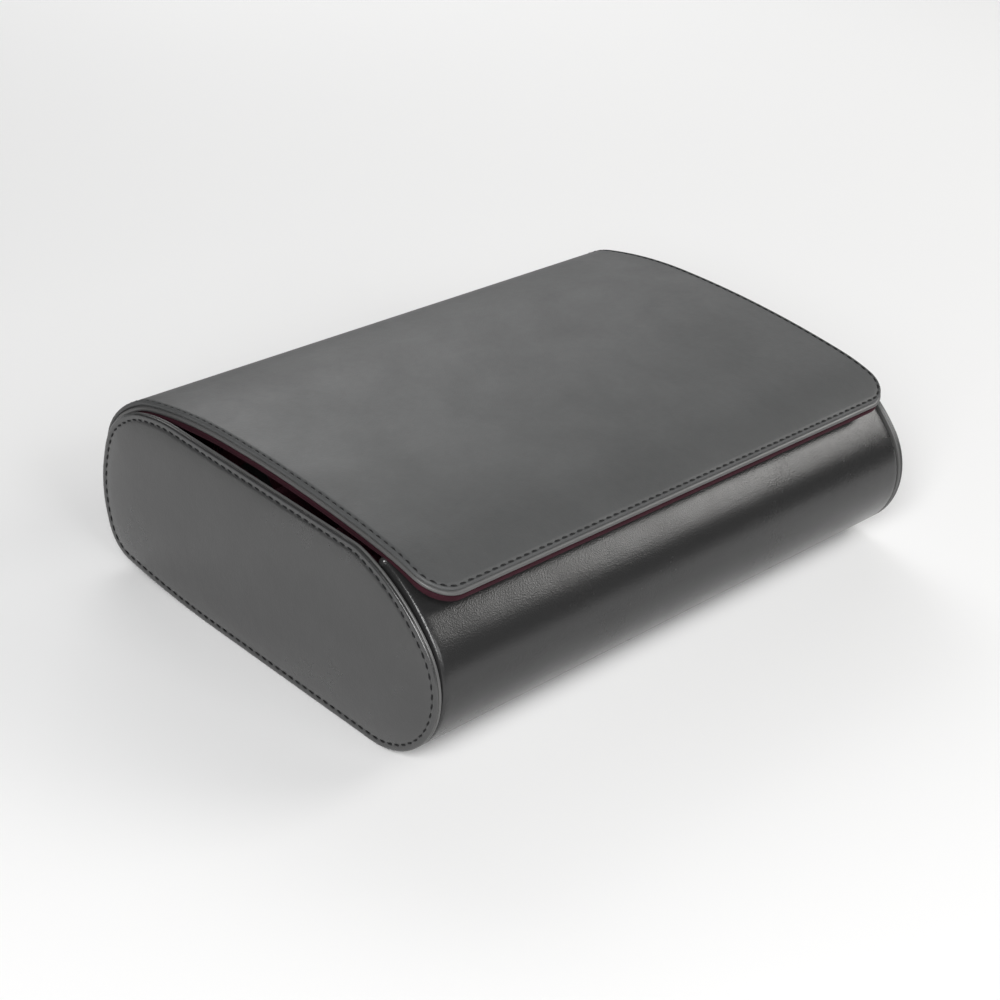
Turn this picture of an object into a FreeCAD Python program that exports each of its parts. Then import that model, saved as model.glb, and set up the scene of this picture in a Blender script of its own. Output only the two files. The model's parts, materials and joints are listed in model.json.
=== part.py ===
import FreeCAD, Part
import math
import os

import Sketcher

from FreeCAD import Placement, Rotation
from FreeCAD import Vector as V

# Leather-covered watch winder box with a wrap-over flap.
# X runs along the box, +Y is the back (hinge side), -Y the front, +Z up.
# The origin is the centre of the bottom of the bounding box. Millimetres.

os.makedirs("parts", exist_ok=True)
doc = FreeCAD.newDocument("watch_winder_box")

# ---------------------------------------------------------------- dimensions
sheet = doc.addObject("Spreadsheet::Sheet", "Dims")
values = dict(
    case_half=140.0,        # half the length over the two end panels
    ply=1.4,                # one leather ply of an end panel
    skin=1.5,               # outer leather of the wrap and the flap
    wrap_core=3.0,          # board inside the wrap
    suede=0.8,              # suede lining of the case
    board_in=135.0,         # inner face of an end board
    wrap_half=137.2,        # half the length of the wrap, between the panels
    flap_half=134.65,       # half the length of the flap
    flap_core=1.9,          # second ply of the flap
    flap_pad=2.4,           # padded suede lining of the flap
    flap_corner=13.0,       # plan radius of the flap's front corners
    liner_out=134.8, liner_in=131.5,
    deck=71.2,              # height of the inner deck
    front_row=-56.8,        # front face of the storage bays
    bay_back=5.8,
    well_front=9.7, well_back=82.3,
    console=29.0, console_wall=3.0, console_back=70.0,
    cover_low=68.2,
    spin_y=46.0, spin_z=41.0,       # winding axis, along X
    shaft_rad=3.0,
    rotor_belt=19.0, motor_belt=4.75,   # belt line radii, 4 to 1
    belt_rad=1.0, belt_x=-16.0,
    motor_y=24.0, motor_z=20.5,
    core_in=38.0, core_out=104.0, core_rad=11.0,
    cushion_wide=54.0, cushion_high=46.0, cushion_round=18.0,
    pin_rad=4.0, pin_travel=5.5,
    block_in=113.0, block_out=131.3,
    door_travel=8.0,
    pillow_wide=52.0, pillow_high=44.0, pillow_long=44.0,
    knob_rad=9.0,
)
for i, (k, v) in enumerate(values.items(), 1):
    sheet.set("A%d" % i, k)
    sheet.set("B%d" % i, repr(v))
    sheet.setAlias("B%d" % i, k)
doc.recompute()


def D(k):
    return float(getattr(sheet, k))


# ------------------------------------------------------------ profile chains
class Chain:
    """A run of tangent arcs and lines in the Y-Z plane that always turns left, so that an inward offset of it is concentric arcs and parallel lines."""

    def __init__(self, start, heading, spans):
        self.seg, self.length = [], 0.0
        p, a = start, heading
        for r, q in spans:
            if r is None:
                n = dict(kind="L", len=q, p=p, a=a)
                p = (p[0] + q * math.cos(a), p[1] + q * math.sin(a))
            else:
                t = math.radians(q)
                c = (p[0] - r * math.sin(a), p[1] + r * math.cos(a))
                n = dict(kind="A", len=r * t, p=p, a=a, r=r, t=t, c=c)
                a += t
                p = (c[0] + r * math.sin(a), c[1] - r * math.cos(a))
            n["s"] = self.length
            self.length += n["len"]
            self.seg.append(n)
        self.end, self.heading = p, a

    def at(self, s, d=0.0):
        """The point at length s, d to the left, and the heading there."""
        s = s % self.length if s > self.length + 1e-9 else s
        for n in self.seg:
            if s <= n["s"] + n["len"] + 1e-9:
                u = s - n["s"]
                a = n["a"] + (u / n["r"] if n["kind"] == "A" else 0.0)
                if n["kind"] == "A":
                    q = (n["c"][0] + (n["r"] - d) * math.sin(a), n["c"][1] - (n["r"] - d) * math.cos(a))
                else:
                    q = (n["p"][0] + u * math.cos(a) - d * math.sin(a), n["p"][1] + u * math.sin(a) + d * math.cos(a))
                return q, a
        raise ValueError(s)

    def find(self, s0, s1, test):
        """The length at which test changes sign between s0 and s1."""
        f0 = test(*self.at(s0)[0])
        for _ in range(60):
            m = 0.5 * (s0 + s1)
            if (test(*self.at(m)[0]) > 0) == (f0 > 0):
                s0 = m
            else:
                s1 = m
        return 0.5 * (s0 + s1)

    def curves(self, s0, s1, d):
        out, lap = [], 0
        while lap * self.length < s1 - 1e-9:
            for n in self.seg:
                lo = max(s0, n["s"] + lap * self.length)
                hi = min(s1, n["s"] + n["len"] + lap * self.length)
                if hi - lo < 1e-6:
                    continue
                u0, u1 = lo - n["s"] - lap * self.length, hi - n["s"] - lap * self.length
                if n["kind"] == "L":
                    q0, q1 = [(n["p"][0] + u * math.cos(n["a"]) - d * math.sin(n["a"]), n["p"][1] + u * math.sin(n["a"]) + d * math.cos(n["a"])) for u in (u0, u1)]
                    out.append(Part.LineSegment(V(q0[0], q0[1], 0), V(q1[0], q1[1], 0)))
                else:
                    b = n["a"] - math.pi / 2
                    out.append(Part.ArcOfCircle(Part.Circle(V(n["c"][0], n["c"][1], 0), V(0, 0, 1), n["r"] - d), b + u0 / n["r"], b + u1 / n["r"]))
            lap += 1
        return out


def line(p, q):
    return Part.LineSegment(V(p[0], p[1], 0), V(q[0], q[1], 0))


def polygon(pts):
    return [line(a, b) for a, b in zip(pts, pts[1:] + pts[:1])]


def band(chain, s0, s1, d0, d1):
    """The closed outline of a layer between two offsets of a chain."""
    return (chain.curves(s0, s1, d0) + chain.curves(s0, s1, d1)
            + [line(chain.at(s0, d0)[0], chain.at(s0, d1)[0]), line(chain.at(s1, d0)[0], chain.at(s1, d1)[0])])


# The case outline: flat bottom, bulging back, flat top, front shoulder,
# long slope and a low nose. Each row is radius and turn, or a straight.
spans = [(430.484, 7.506), (17.404, 59.075), (73.163, 28.960), (19.495, 50.496), (73.852, 34.214),
         (None, 99.691), (20.728, 15.266), (76.434, 32.098)]
start_y = 24.067
part_way = Chain((start_y, 0.0), 0.0, spans)
last_turn = 360.0 - math.degrees(part_way.heading)
last_rad = -part_way.end[1] / (math.cos(part_way.heading) - 1.0)
nose = Chain((start_y, 0.0), 0.0, spans + [(last_rad, last_turn)])
OUT = Chain((start_y, 0.0), 0.0, spans + [(last_rad, last_turn), (None, start_y - nose.end[0])])
HINGE = OUT.seg[0]["len"] + OUT.seg[1]["len"] + 73.163 * (math.pi / 2 - OUT.seg[2]["a"])
hinge_y, hinge_z = OUT.at(HINGE)[0]
SHOULDER = OUT.find(OUT.seg[5]["s"] + 20, OUT.seg[8]["s"], lambda y, z: y + 62.0)
# The flap's outer face: it leaves the outline at the hinge line, stands
# proud of it over the top and reaches out past the shoulder.
FLAP = Chain((hinge_y, hinge_z), math.pi / 2, [(None, 46.0 - hinge_z), (32.166, 75.052), (208.828, 12.690), (571.604, 9.306), (87.444, 19.121)])
print("hinge line y %.3f z %.3f, shoulder %s, flap front %s" % (hinge_y, hinge_z, OUT.at(SHOULDER)[0], FLAP.end))

nodes = {}


def keep(name, obj):
    obj.Label = name
    nodes[name] = obj
    return obj


def tie(obj, **props):
    for k, e in props.items():
        obj.setExpression(k.replace("__", "."), str(e))
    return obj


# ---------------------------------------------------------- PartDesign tools
def plane(body, role):
    return next(f for f in body.Origin.OriginFeatures if f.Role == role)


def new_body(name):
    return doc.addObject("PartDesign::Body", name + "_body")


def sketch(body, geo, role, offset=None, tag=""):
    """A sketch of ready-made geometry on one of the body's own planes, moved along its normal by an expression."""
    sk = body.newObject("Sketcher::SketchObject", body.Name.replace("_body", "") + "_sketch" + tag)
    sk.AttachmentSupport = [(plane(body, role), "")]
    sk.MapMode = "FlatFace"
    sk.addGeometry(geo, False)
    if offset is not None:
        sk.setExpression("AttachmentOffset.Base.z", str(offset))
    doc.recompute()
    return sk


def pad(body, sk, length, tag=""):
    f = body.newObject("PartDesign::Pad", sk.Name + "_pad" + tag)
    f.Profile = sk
    f.setExpression("Length", str(length))
    doc.recompute()
    return f


def pocket(body, sk, length=None, back=False):
    """A pocket, checked by volume, through all unless a length is given."""
    before = body.Shape.Volume
    f = body.newObject("PartDesign::Pocket", sk.Name + "_pocket")
    f.Profile = sk
    if length is None:
        f.Type = 1
        f.Midplane = True
    else:
        f.setExpression("Length", str(length))
        f.Reversed = back
    doc.recompute()
    if not body.Shape.Volume < before - 1e-6:
        raise RuntimeError("pocket cuts nothing: " + f.Name)
    return f


def extrude(name, geo, x0, length, role="YZ_Plane"):
    """A body whose sketch is padded along the plane's normal from x0."""
    b = new_body(name)
    sk = sketch(b, geo, role, x0)
    pad(b, sk, length)
    return b


def fillet(body, rad, test):
    """Rounds the edges of the body's tip that pass a test."""
    doc.recompute()
    tip = body.Tip
    names = ["Edge%d" % (i + 1) for i, e in enumerate(tip.Shape.Edges) if test(e)]
    if not names:
        raise RuntimeError("no edges to round on " + body.Name)
    f = body.newObject("PartDesign::Fillet", body.Name + "_round")
    f.Base = (tip, names)
    f.setExpression("Radius", str(rad))
    doc.recompute()
    return f


# ------------------------------------------------------------ Part primitives
count = [0]


def uid(tag):
    count[0] += 1
    return "%s_%d" % (tag, count[0])


def box(x0, x1, y0, y1, z0, z1, tag="box"):
    o = doc.addObject("Part::Box", uid(tag))
    for k, a, b in (("Length", x0, x1), ("Width", y0, y1), ("Height", z0, z1)):
        o.setExpression(k, "(%s)-(%s)" % (b, a))
    for k, a in (("x", x0), ("y", y0), ("z", z0)):
        o.setExpression("Placement.Base." + k, str(a))
    return o


def cyl(axis, x, y, z, rad, high, tag="cyl"):
    """A cylinder from x, y, z along +X, +Y or +Z."""
    o = doc.addObject("Part::Cylinder", uid(tag))
    rot = {"X": Rotation(V(0, 1, 0), 90), "Y": Rotation(V(1, 0, 0), -90), "Z": Rotation()}[axis]
    o.Placement = Placement(V(0, 0, 0), rot)
    o.setExpression("Radius", str(rad))
    o.setExpression("Height", str(high))
    for k, a in (("x", x), ("y", y), ("z", z)):
        o.setExpression("Placement.Base." + k, str(a))
    return o


def cut(a, b, tag="cut"):
    o = doc.addObject("Part::Cut", uid(tag))
    o.Base, o.Tool = a, b
    return o


def fuse(*a, tag="fuse"):
    o = doc.addObject("Part::MultiFuse", uid(tag))
    o.Shapes = list(a)
    o.Refine = True
    return o


def common(*a, tag="common"):
    o = doc.addObject("Part::MultiCommon", uid(tag))
    o.Shapes = list(a)
    return o


def group(*a, tag="group"):
    o = doc.addObject("Part::Compound", uid(tag))
    o.Links = list(a)
    return o


def outline_prism(d, half=150.0):
    """The space inside the outline at an inward offset."""
    o = doc.addObject("Sketcher::SketchObject", uid("outline_sketch"))
    o.Placement = Placement(V(0, 0, 0), Rotation(V(1, 1, 1), 120))
    o.addGeometry(OUT.curves(0, OUT.length, d), False)
    e = doc.addObject("Part::Extrusion", uid("outline_prism"))
    e.Base = o
    e.DirMode = "Normal"
    e.Solid = True
    e.Symmetric = True
    e.LengthFwd = 2 * half
    return e


def under_flap(d, half=150.0):
    """The space below the flap at an inward offset."""
    o = doc.addObject("Sketcher::SketchObject", uid("flap_space_sketch"))
    o.Placement = Placement(V(0, 0, 0), Rotation(V(1, 1, 1), 120))
    a, b = FLAP.at(0, d)[0], FLAP.at(FLAP.length, d)[0]
    o.addGeometry(FLAP.curves(0, FLAP.length, d) + [line(b, (-115.0, b[1])), line((-115.0, b[1]), (-115.0, -5.0)), line((-115.0, -5.0), (a[0], -5.0)), line((a[0], -5.0), a)], False)
    e = doc.addObject("Part::Extrusion", uid("flap_space"))
    e.Base = o
    e.DirMode = "Normal"
    e.Solid = True
    e.Symmetric = True
    e.LengthFwd = 2 * half
    return e


A5, A7, A9, B = outline_prism(5.5), outline_prism(7.5), outline_prism(9.5), under_flap(6.5)
doc.recompute()

# ----------------------------------------------------------------- end panels
full = OUT.curves(0, OUT.length, 0.0)
for side, sgn in (("left", -1), ("right", 1)):
    b = extrude(side + "_end_panel_outer", full, "-Dims.case_half" if sgn < 0 else "Dims.case_half-Dims.ply", "Dims.ply")
    fillet(b, "0.5", lambda e, s=sgn: abs(e.BoundBox.XMax - e.BoundBox.XMin) < 1e-4 and abs(e.BoundBox.XMax - s * D("case_half")) < 1e-3)
    keep(side + "_end_panel_outer", b)
    b = extrude(side + "_end_panel_inner", full, "-Dims.case_half+Dims.ply" if sgn < 0 else "Dims.wrap_half", "Dims.ply")
    keep(side + "_end_panel_inner", b)
    b = extrude(side + "_end_board", OUT.curves(0, OUT.length, 5.6), "-Dims.wrap_half" if sgn < 0 else "Dims.board_in", "Dims.wrap_half-Dims.board_in")
    keep(side + "_end_board", b)

# ----------------------------------------------------------------------- wrap
# From the front shoulder down the front, under the bottom and up the back.
FLEX = 10.0
w0, w1 = SHOULDER, OUT.length + HINGE
# the front wall stands a little short of each end panel, most at its top
slits = [doc.addObject("Part::Feature", "slit_%d" % k) for k in (0, 1)]
for o, s in zip(slits, (-1, 1)):
    f = Part.Face(Part.makePolygon([V(s * x, -110, z) for x, z in ((137.2, 22.0), (134.3, 80.0), (150.0, 80.0), (150.0, 22.0), (137.2, 22.0))]))
    o.Shape = f.extrude(V(0, 62, 0))
slit = group(*slits)


def wrap_layer(name, s0, s1, d0, d1, half, trim=True):
    b = extrude(name, band(OUT, s0, s1, d0, d1), "-(%s)" % half, "2*(%s)" % half)
    keep(name, cut(b, slit, name + "_cut") if trim else b)


c1, c2 = D("skin"), D("skin") + D("wrap_core")
c3 = c2 + D("suede")
wrap_layer("wrap_leather", w0 + 1.5, w1 - FLEX, 0.0, c1, "Dims.wrap_half")
wrap_layer("wrap_board", w0 + 1.5, w1 - 1.5, c1, c2, "Dims.wrap_half")
wrap_layer("wrap_lining", w0 + 1.5, w1 - FLEX, c2, c3, "Dims.liner_out", False)
wrap_layer("front_edge_binding", w0, w0 + 1.5, 0.0, c3, "Dims.wrap_half")

# ---------------------------------------------------------------------- hinge


def hinge_strip(name, d0, d1, half):
    g = (OUT.curves(HINGE - FLEX, HINGE, d0) + FLAP.curves(0, FLEX, d0) + OUT.curves(HINGE - FLEX, HINGE, d1) + FLAP.curves(0, FLEX, d1)
         + [line(OUT.at(HINGE - FLEX, d0)[0], OUT.at(HINGE - FLEX, d1)[0]), line(FLAP.at(FLEX, d0)[0], FLAP.at(FLEX, d1)[0])])
    keep(name, extrude(name, g, "-(%s)" % half, "2*(%s)" % half))


hinge_strip("hinge_leather", 0.0, c1, "Dims.flap_half")
hinge_strip("hinge_lining", c2, c3, "Dims.flap_half")

# ----------------------------------------------------------------------- flap
f1, f2 = D("skin"), D("skin") + D("flap_core")
f3 = f2 + D("flap_pad")


def corner_cut(b, inset=0.0):
    """Rounds the flap's two front corners in plan."""
    hw, r, yf = D("flap_half") - inset, D("flap_corner") - inset, FLAP.end[0] + inset
    for k, s in enumerate((-1, 1)):
        x0, c = s * hw, (s * (hw - r), yf + r)
        ang = (math.pi, 1.5 * math.pi) if s < 0 else (1.5 * math.pi, 2 * math.pi)
        arc = Part.ArcOfCircle(Part.Circle(V(c[0], c[1], 0), V(0, 0, 1), r), *ang)
        out = 12.0
        g = [arc, line((x0, c[1]), (x0 + s * out, c[1])), line((x0 + s * out, c[1]), (x0 + s * out, yf - out)), line((x0 + s * out, yf - out), (c[0], yf - out)), line((c[0], yf - out), (c[0], yf))]
        sk = sketch(b, g, "XY_Plane", None, "_corner%d" % k)
        pocket(b, sk)


def flap_layer(name, s0, d0, d1, inset):
    half = "(Dims.flap_half-%g)" % inset
    b = extrude(name, band(FLAP, s0, FLAP.length - inset, d0, d1), "-" + half, "2*" + half)
    corner_cut(b, inset)
    return b


keep("flap_leather", flap_layer("flap_leather", FLEX, 0.0, f1, 0.0))
backing = flap_layer("flap_backing", 1.5, f1, f2, 0.0)
keep("flap_lining", flap_layer("flap_lining", FLEX, f2, f3, 1.0))

# the flap closes on two pairs of disc magnets, at the top of the front wall
mag_s = FLAP.find(FLAP.seg[3]["s"], FLAP.length, lambda y, z: y + 62.5)
(my, mz), ma = FLAP.at(mag_s, f1)
down = V(0, -math.sin(ma), math.cos(ma))      # into the flap
discs, seats = [], []
for x in (-80.0, 80.0):
    p = V(x, my, mz)
    m = doc.addObject("Part::Cylinder", uid("flap_magnet"))
    m.Placement = Placement(p + down * 0.15, Rotation(V(0, 0, 1), down))
    m.Radius, m.Height = 6.0, D("flap_core") - 0.3
    t = doc.addObject("Part::Cylinder", uid("flap_magnet_seat"))
    t.Placement = Placement(p - down * 1.0, Rotation(V(0, 0, 1), down))
    t.Radius, t.Height = 6.1, 5.0
    discs.append(m)
    seats.append(t)
keep("flap_magnets", group(*discs))
keep("flap_backing", cut(backing, group(*seats)))

(wy, wz), wa = OUT.at(SHOULDER + 8.5, c1)
inward = V(0, -math.sin(wa), math.cos(wa))
discs, seats = [], []
for x in (-80.0, 80.0):
    p = V(x, wy, wz)
    m = doc.addObject("Part::Cylinder", uid("wall_magnet"))
    m.Placement = Placement(p + inward * 0.2, Rotation(V(0, 0, 1), inward))
    m.Radius, m.Height = 6.0, 2.4
    t = doc.addObject("Part::Cylinder", uid("wall_magnet_seat"))
    t.Placement = Placement(p - inward * 1.0, Rotation(V(0, 0, 1), inward))
    t.Radius, t.Height = 6.1, 3.8
    discs.append(m)
    seats.append(t)
keep("wall_magnets", group(*discs))
keep("wrap_board", cut(nodes["wrap_board"], group(*seats)))

# ----------------------------------------------------------- suede inner case
floor_end = OUT.find(30.0, 60.0, lambda y, z: y - 80.0)
keep("tray_floor", extrude("tray_floor", band(OUT, OUT.length - start_y - 56.5, OUT.length + floor_end, 5.4, 7.4), -131.3, 262.6))
keep("front_bolster", common(box("-Dims.liner_out", "Dims.liner_out", -105, "Dims.front_row-0.2", 0, "Dims.deck-2"), A5, B))
keep("rear_bolster", common(fuse(box("-Dims.liner_out", "Dims.liner_out", "Dims.well_back+0.2", 110, 0, "Dims.deck"), common(box(-29.0, 29.0, "Dims.console_back+0.2", 90, 0, "Dims.deck-0.6"), A7)), A5, B))
for side, a, b in (("left", "-Dims.liner_out", "-Dims.liner_in"), ("right", "Dims.liner_in", "Dims.liner_out")):
    keep(side + "_side_liner", common(box(a, b, "Dims.front_row", "Dims.well_back", 0, "Dims.deck"), A5, B))
keep("cross_dividers", group(*[common(box(a, b, "Dims.bay_back+0.2", "Dims.well_front-0.2", 0, 66), A7) for a, b in (("-131.3", "-29.3"), ("29.3", "131.3"))]))
keep("bay_dividers", group(*[common(box(a, b, "Dims.front_row+0.1", "Dims.bay_back", 0, 62), A7) for a, b in ((-81.8, -78.8), (78.8, 81.8))]))

# ------------------------------------------------------------- drive housing
outer = fuse(common(box("-Dims.console", "Dims.console", "Dims.well_front", "Dims.console_back", 0, 40), A7), box("-Dims.console", "Dims.console", "Dims.well_front", "Dims.console_back", 40, "Dims.cover_low"))
inner = fuse(common(box("-Dims.console+Dims.console_wall", "Dims.console-Dims.console_wall", "Dims.well_front+Dims.console_wall", "Dims.console_back-Dims.console_wall", 0, 40), A9),
             box("-Dims.console+Dims.console_wall", "Dims.console-Dims.console_wall", "Dims.well_front+Dims.console_wall", "Dims.console_back-Dims.console_wall", 40, 90))
posts = [cyl("Z", x, y, 54.0, 3.6, "Dims.cover_low-54") for x in (-22.6, 22.6) for y in (16.1, 63.6)]
holes = [cyl("Z", x, y, 58.0, 1.05, 20.0) for x in (-22.6, 22.6) for y in (16.1, 63.6)]
bores = [cyl("X", x, "Dims.spin_y", "Dims.spin_z", 6.0, 5.0) for x in (-30.0, 25.0)]
keep("drive_housing", cut(fuse(cut(outer, inner), *[common(p, box(-29, 29, 9.7, 70, 0, 80)) for p in posts]), group(*holes, *bores)))

b = extrude("drive_cover", polygon([(-29.0, 9.7), (29.0, 9.7), (29.0, 70.0), (-29.0, 70.0)]), "Dims.cover_low", "Dims.deck-Dims.cover_low", "XY_Plane")
rock_y = 24.0
sk = sketch(b, polygon([(-5.2, rock_y - 8.4), (5.2, rock_y - 8.4), (5.2, rock_y + 8.4), (-5.2, rock_y + 8.4)]), "XY_Plane", None, "_rocker")
pocket(b, sk)
sk = sketch(b, [Part.Circle(V(0, 48, 0), V(0, 0, 1), 3.2), Part.Circle(V(17, rock_y, 0), V(0, 0, 1), 2.1)] + [Part.Circle(V(x, y, 0), V(0, 0, 1), 1.4) for x in (-22.6, 22.6) for y in (16.1, 63.6)], "XY_Plane", None, "_holes")
pocket(b, sk)
fillet(b, "0.6", lambda e: abs(e.BoundBox.ZMin - D("deck")) < 1e-4 and abs(e.BoundBox.ZMax - D("deck")) < 1e-4 and e.BoundBox.DiagonalLength > 55)
keep("drive_cover", b)


def screw(x, y, z, high, tag):
    """A pan-head screw pointing down: its head stands on z."""
    b = new_body(tag)
    g = polygon([(0.0, -high), (0.98, -high), (0.98, 0.0), (2.3, 0.0), (2.3, 0.9), (1.5, 1.5), (0.0, 1.5)])
    sk = sketch(b, g, "XZ_Plane")
    r = b.newObject("PartDesign::Revolution", tag + "_turn")
    r.Profile = sk
    r.ReferenceAxis = (sk, ["V_Axis"])
    r.Angle = 360
    doc.recompute()
    sk2 = sketch(b, polygon([(-1.2, -0.25), (1.2, -0.25), (1.2, 0.25), (-1.2, 0.25)]), "XY_Plane", "0.9", "_slot")
    pocket(b, sk2, "2", True)
    sk3 = sketch(b, polygon([(-0.25, -1.2), (0.25, -1.2), (0.25, 1.2), (-0.25, 1.2)]), "XY_Plane", "0.9", "_slot2")
    pocket(b, sk3, "2", True)
    b.Placement = Placement(V(x, y, z), Rotation())
    return b


keep("cover_screws", group(*[screw(x, y, D("deck"), 12.0, "cover_screw_%d" % i) for i, (x, y) in enumerate((x, y) for x in (-22.6, 22.6) for y in (16.1, 63.6))]))

# circuit board and the controls that stand on it
board_z = 63.6
b = extrude("circuit_board", polygon([(-24.0, 20.4), (24.0, 20.4), (24.0, 59.6), (-24.0, 59.6)]), board_z, 1.6, "XY_Plane")
sk = sketch(b, [Part.Circle(V(x, y, 0), V(0, 0, 1), 1.6) for x, y in ((-20, 24), (20, 56), (-20, 56))], "XY_Plane", None, "_holes")
pocket(b, sk)
chips = [box(x, x + w, y, y + h, board_z + 1.6, board_z + 1.6 + t) for x, y, w, h, t in ((-21, 30, 8, 10, 1.4), (12, 36, 7, 7, 1.2), (-19, 44, 5, 4, 2.0), (13, 47, 9, 3, 1.6))]
keep("circuit_board", fuse(b, *chips))
top = board_z + 1.6
piv = 67.1
base = fuse(box(-7.2, 7.2, rock_y - 9, rock_y + 9, top, 65.9), box(-7.2, -5.4, rock_y - 3, rock_y + 3, top, 68.1), box(5.4, 7.2, rock_y - 3, rock_y + 3, top, 68.1))
keep("power_switch_base", cut(base, cyl("X", -10, rock_y, piv, 1.05, 20)))
b = extrude("power_rocker", polygon([(rock_y - 4.0, 66.4), (rock_y + 4.0, 66.4), (rock_y + 7.5, 68.4), (rock_y + 7.5, 72.2), (rock_y, 71.5), (rock_y - 7.5, 72.2), (rock_y - 7.5, 68.4)]), -4.8, 9.6)
sk = sketch(b, [Part.Circle(V(rock_y, piv, 0), V(0, 0, 1), 1.0)], "YZ_Plane", -6.8, "_pin")
pad(b, sk, 13.6)
b.Placement = Placement(V(0, 0, 0), Rotation(V(1, 0, 0), -6), V(0, rock_y, piv))     # rests on its off side
keep("power_rocker", b)

sel = cut(box(-6.5, 6.5, 41.5, 54.5, top, 67.9), cyl("Z", 0, 48, top + 0.5, 3.05, 10))
keep("selector_body", sel)
keep("selector_spindle", cyl("Z", 0, 48, 66.0, 3.0, 7.4))
b = new_body("mode_knob")
g = polygon([(3.0, 71.6), (9.0, 71.6), (9.0, 73.4), (8.2, 74.2), (0.0, 74.2), (0.0, 73.4), (3.0, 73.4)])
sk = sketch(b, g, "XZ_Plane")
r = b.newObject("PartDesign::Revolution", "mode_knob_turn")
r.Profile = sk
r.ReferenceAxis = (sk, ["V_Axis"])
r.Angle = 360
doc.recompute()
sk = sketch(b, [Part.Circle(V(0.0, 9.6, 0), V(0, 0, 1), 1.1)], "XY_Plane", None, "_scallop")
f = pocket(b, sk)
pp = b.newObject("PartDesign::PolarPattern", "mode_knob_grip")
pp.Originals = [f]
pp.Axis = (sk, ["N_Axis"])
pp.Angle = 360
pp.Occurrences = 18
b.Tip = pp
doc.recompute()
sk = sketch(b, polygon([(-0.35, -7.6), (0.35, -7.6), (0.35, -3.2), (-0.35, -3.2)]), "XY_Plane", "73.8", "_mark")
pocket(b, sk, "2", True)
b.Placement = Placement(V(0, 48, 0), Rotation())
keep("mode_knob", b)
b = new_body("indicator_lens")
sk = sketch(b, polygon([(0.0, 65.4), (2.6, 65.4), (2.6, 68.0), (2.0, 68.0), (2.0, 71.4), (1.4, 71.9), (0.0, 72.1)]), "XZ_Plane")
r = b.newObject("PartDesign::Revolution", "indicator_lens_turn")
r.Profile = sk
r.ReferenceAxis = (sk, ["V_Axis"])
r.Angle = 360
doc.recompute()
b.Placement = Placement(V(17, rock_y, 0), Rotation())
keep("indicator_lens", b)

# ---------------------------------------------------------------- battery box
bx, by0, by1 = 29.0, D("front_row"), 9.5
keep("battery_box", cut(common(box(-bx, bx, "Dims.front_row+0.1", by1, 0, 65.3), A7), box(-bx + 2.5, bx - 2.5, "Dims.front_row+2.6", by1 - 2.5, 9.6, 80)))
plate = box(-bx, bx, "Dims.front_row+0.1", by1, 65.4, 68.0)
rails = [box(a, c, "Dims.front_row+0.1", by1, 68.0, 70.3) for a, c in ((-bx, -26.2), (26.2, bx))]
lips = [box(a, c, "Dims.front_row+0.1", by1, 70.3, "Dims.deck") for a, c in ((-bx, -24.4), (24.4, bx))]
stop = box(-26.2, 26.2, 2.4, by1, 68.0, 70.3)
keep("battery_top_plate", cut(fuse(plate, stop, *rails, *lips), box(-18, 18, -42, -6, 60, 69)))
b = extrude("battery_door", polygon([(-26.0, -46.0), (26.0, -46.0), (26.0, 2.2), (-26.0, 2.2)]), 68.1, 2.0, "XY_Plane")
sk = sketch(b, sum([polygon([(-9.0, y), (9.0, y), (9.0, y + 0.8), (-9.0, y + 0.8)]) for y in (-9.0, -6.6, -4.2)], []), "XY_Plane", "69.6", "_grip")
pocket(b, sk, "2", True)
keep("battery_door", b)
cells = []
for x in (-7.8, 7.8):
    for y in (-31.8, -16.2):
        cells.append(fuse(cyl("Z", x, y, 12.2, 7.1, 49.2), cyl("Z", x, y, 61.4, 2.7, 1.1)))
keep("batteries", group(*cells))
keep("battery_contacts", group(*[box(x - 6, x + 6, -38.0, -10.0, 11.6, 12.1) for x in (-7.8, 7.8)]))

# ---------------------------------------------------------------- drive train
mt, ms = "Dims.motor_y", "Dims.motor_z"
motor = fuse(cyl("X", 4.0, mt, ms, 10.0, 20.5), cyl("X", -7.9, mt, ms, 9.0, 11.9), cyl("X", 24.5, mt, ms, 3.0, 1.2))
keep("gear_motor", cut(motor, cyl("X", -9.0, mt, ms, 1.6, 5.0)))
keep("motor_shaft", cyl("X", -20.0, mt, ms, 1.5, 14.0))
bracket = cut(fuse(box(-10.0, -8.0, 12.9, 35.0, 9.9, 31.5), box(-23.0, -9.0, 12.9, 35.0, 9.9, 11.4)), cyl("X", -12.0, mt, ms, 2.4, 6.0))
keep("motor_bracket", bracket)


def pulley(name, r_belt, r_bore, half):
    """A grooved pulley: the round belt lies in the groove with 0.1 to spare."""
    b = new_body(name)
    g = [line((-half, r_bore), (-half, r_belt + 0.6)), line((-half, r_belt + 0.6), (-1.1, r_belt + 0.6)), line((-1.1, r_belt + 0.6), (-1.1, r_belt)),
         Part.ArcOfCircle(Part.Circle(V(0, r_belt, 0), V(0, 0, 1), 1.1), math.pi, 2 * math.pi),
         line((1.1, r_belt), (1.1, r_belt + 0.6)), line((1.1, r_belt + 0.6), (half, r_belt + 0.6)), line((half, r_belt + 0.6), (half, r_bore)), line((half, r_bore), (-half, r_bore))]
    sk = sketch(b, g, "XY_Plane")
    r = b.newObject("PartDesign::Revolution", name + "_turn")
    r.Profile = sk
    r.ReferenceAxis = (sk, ["H_Axis"])
    r.Angle = 360
    doc.recompute()
    return b


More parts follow.
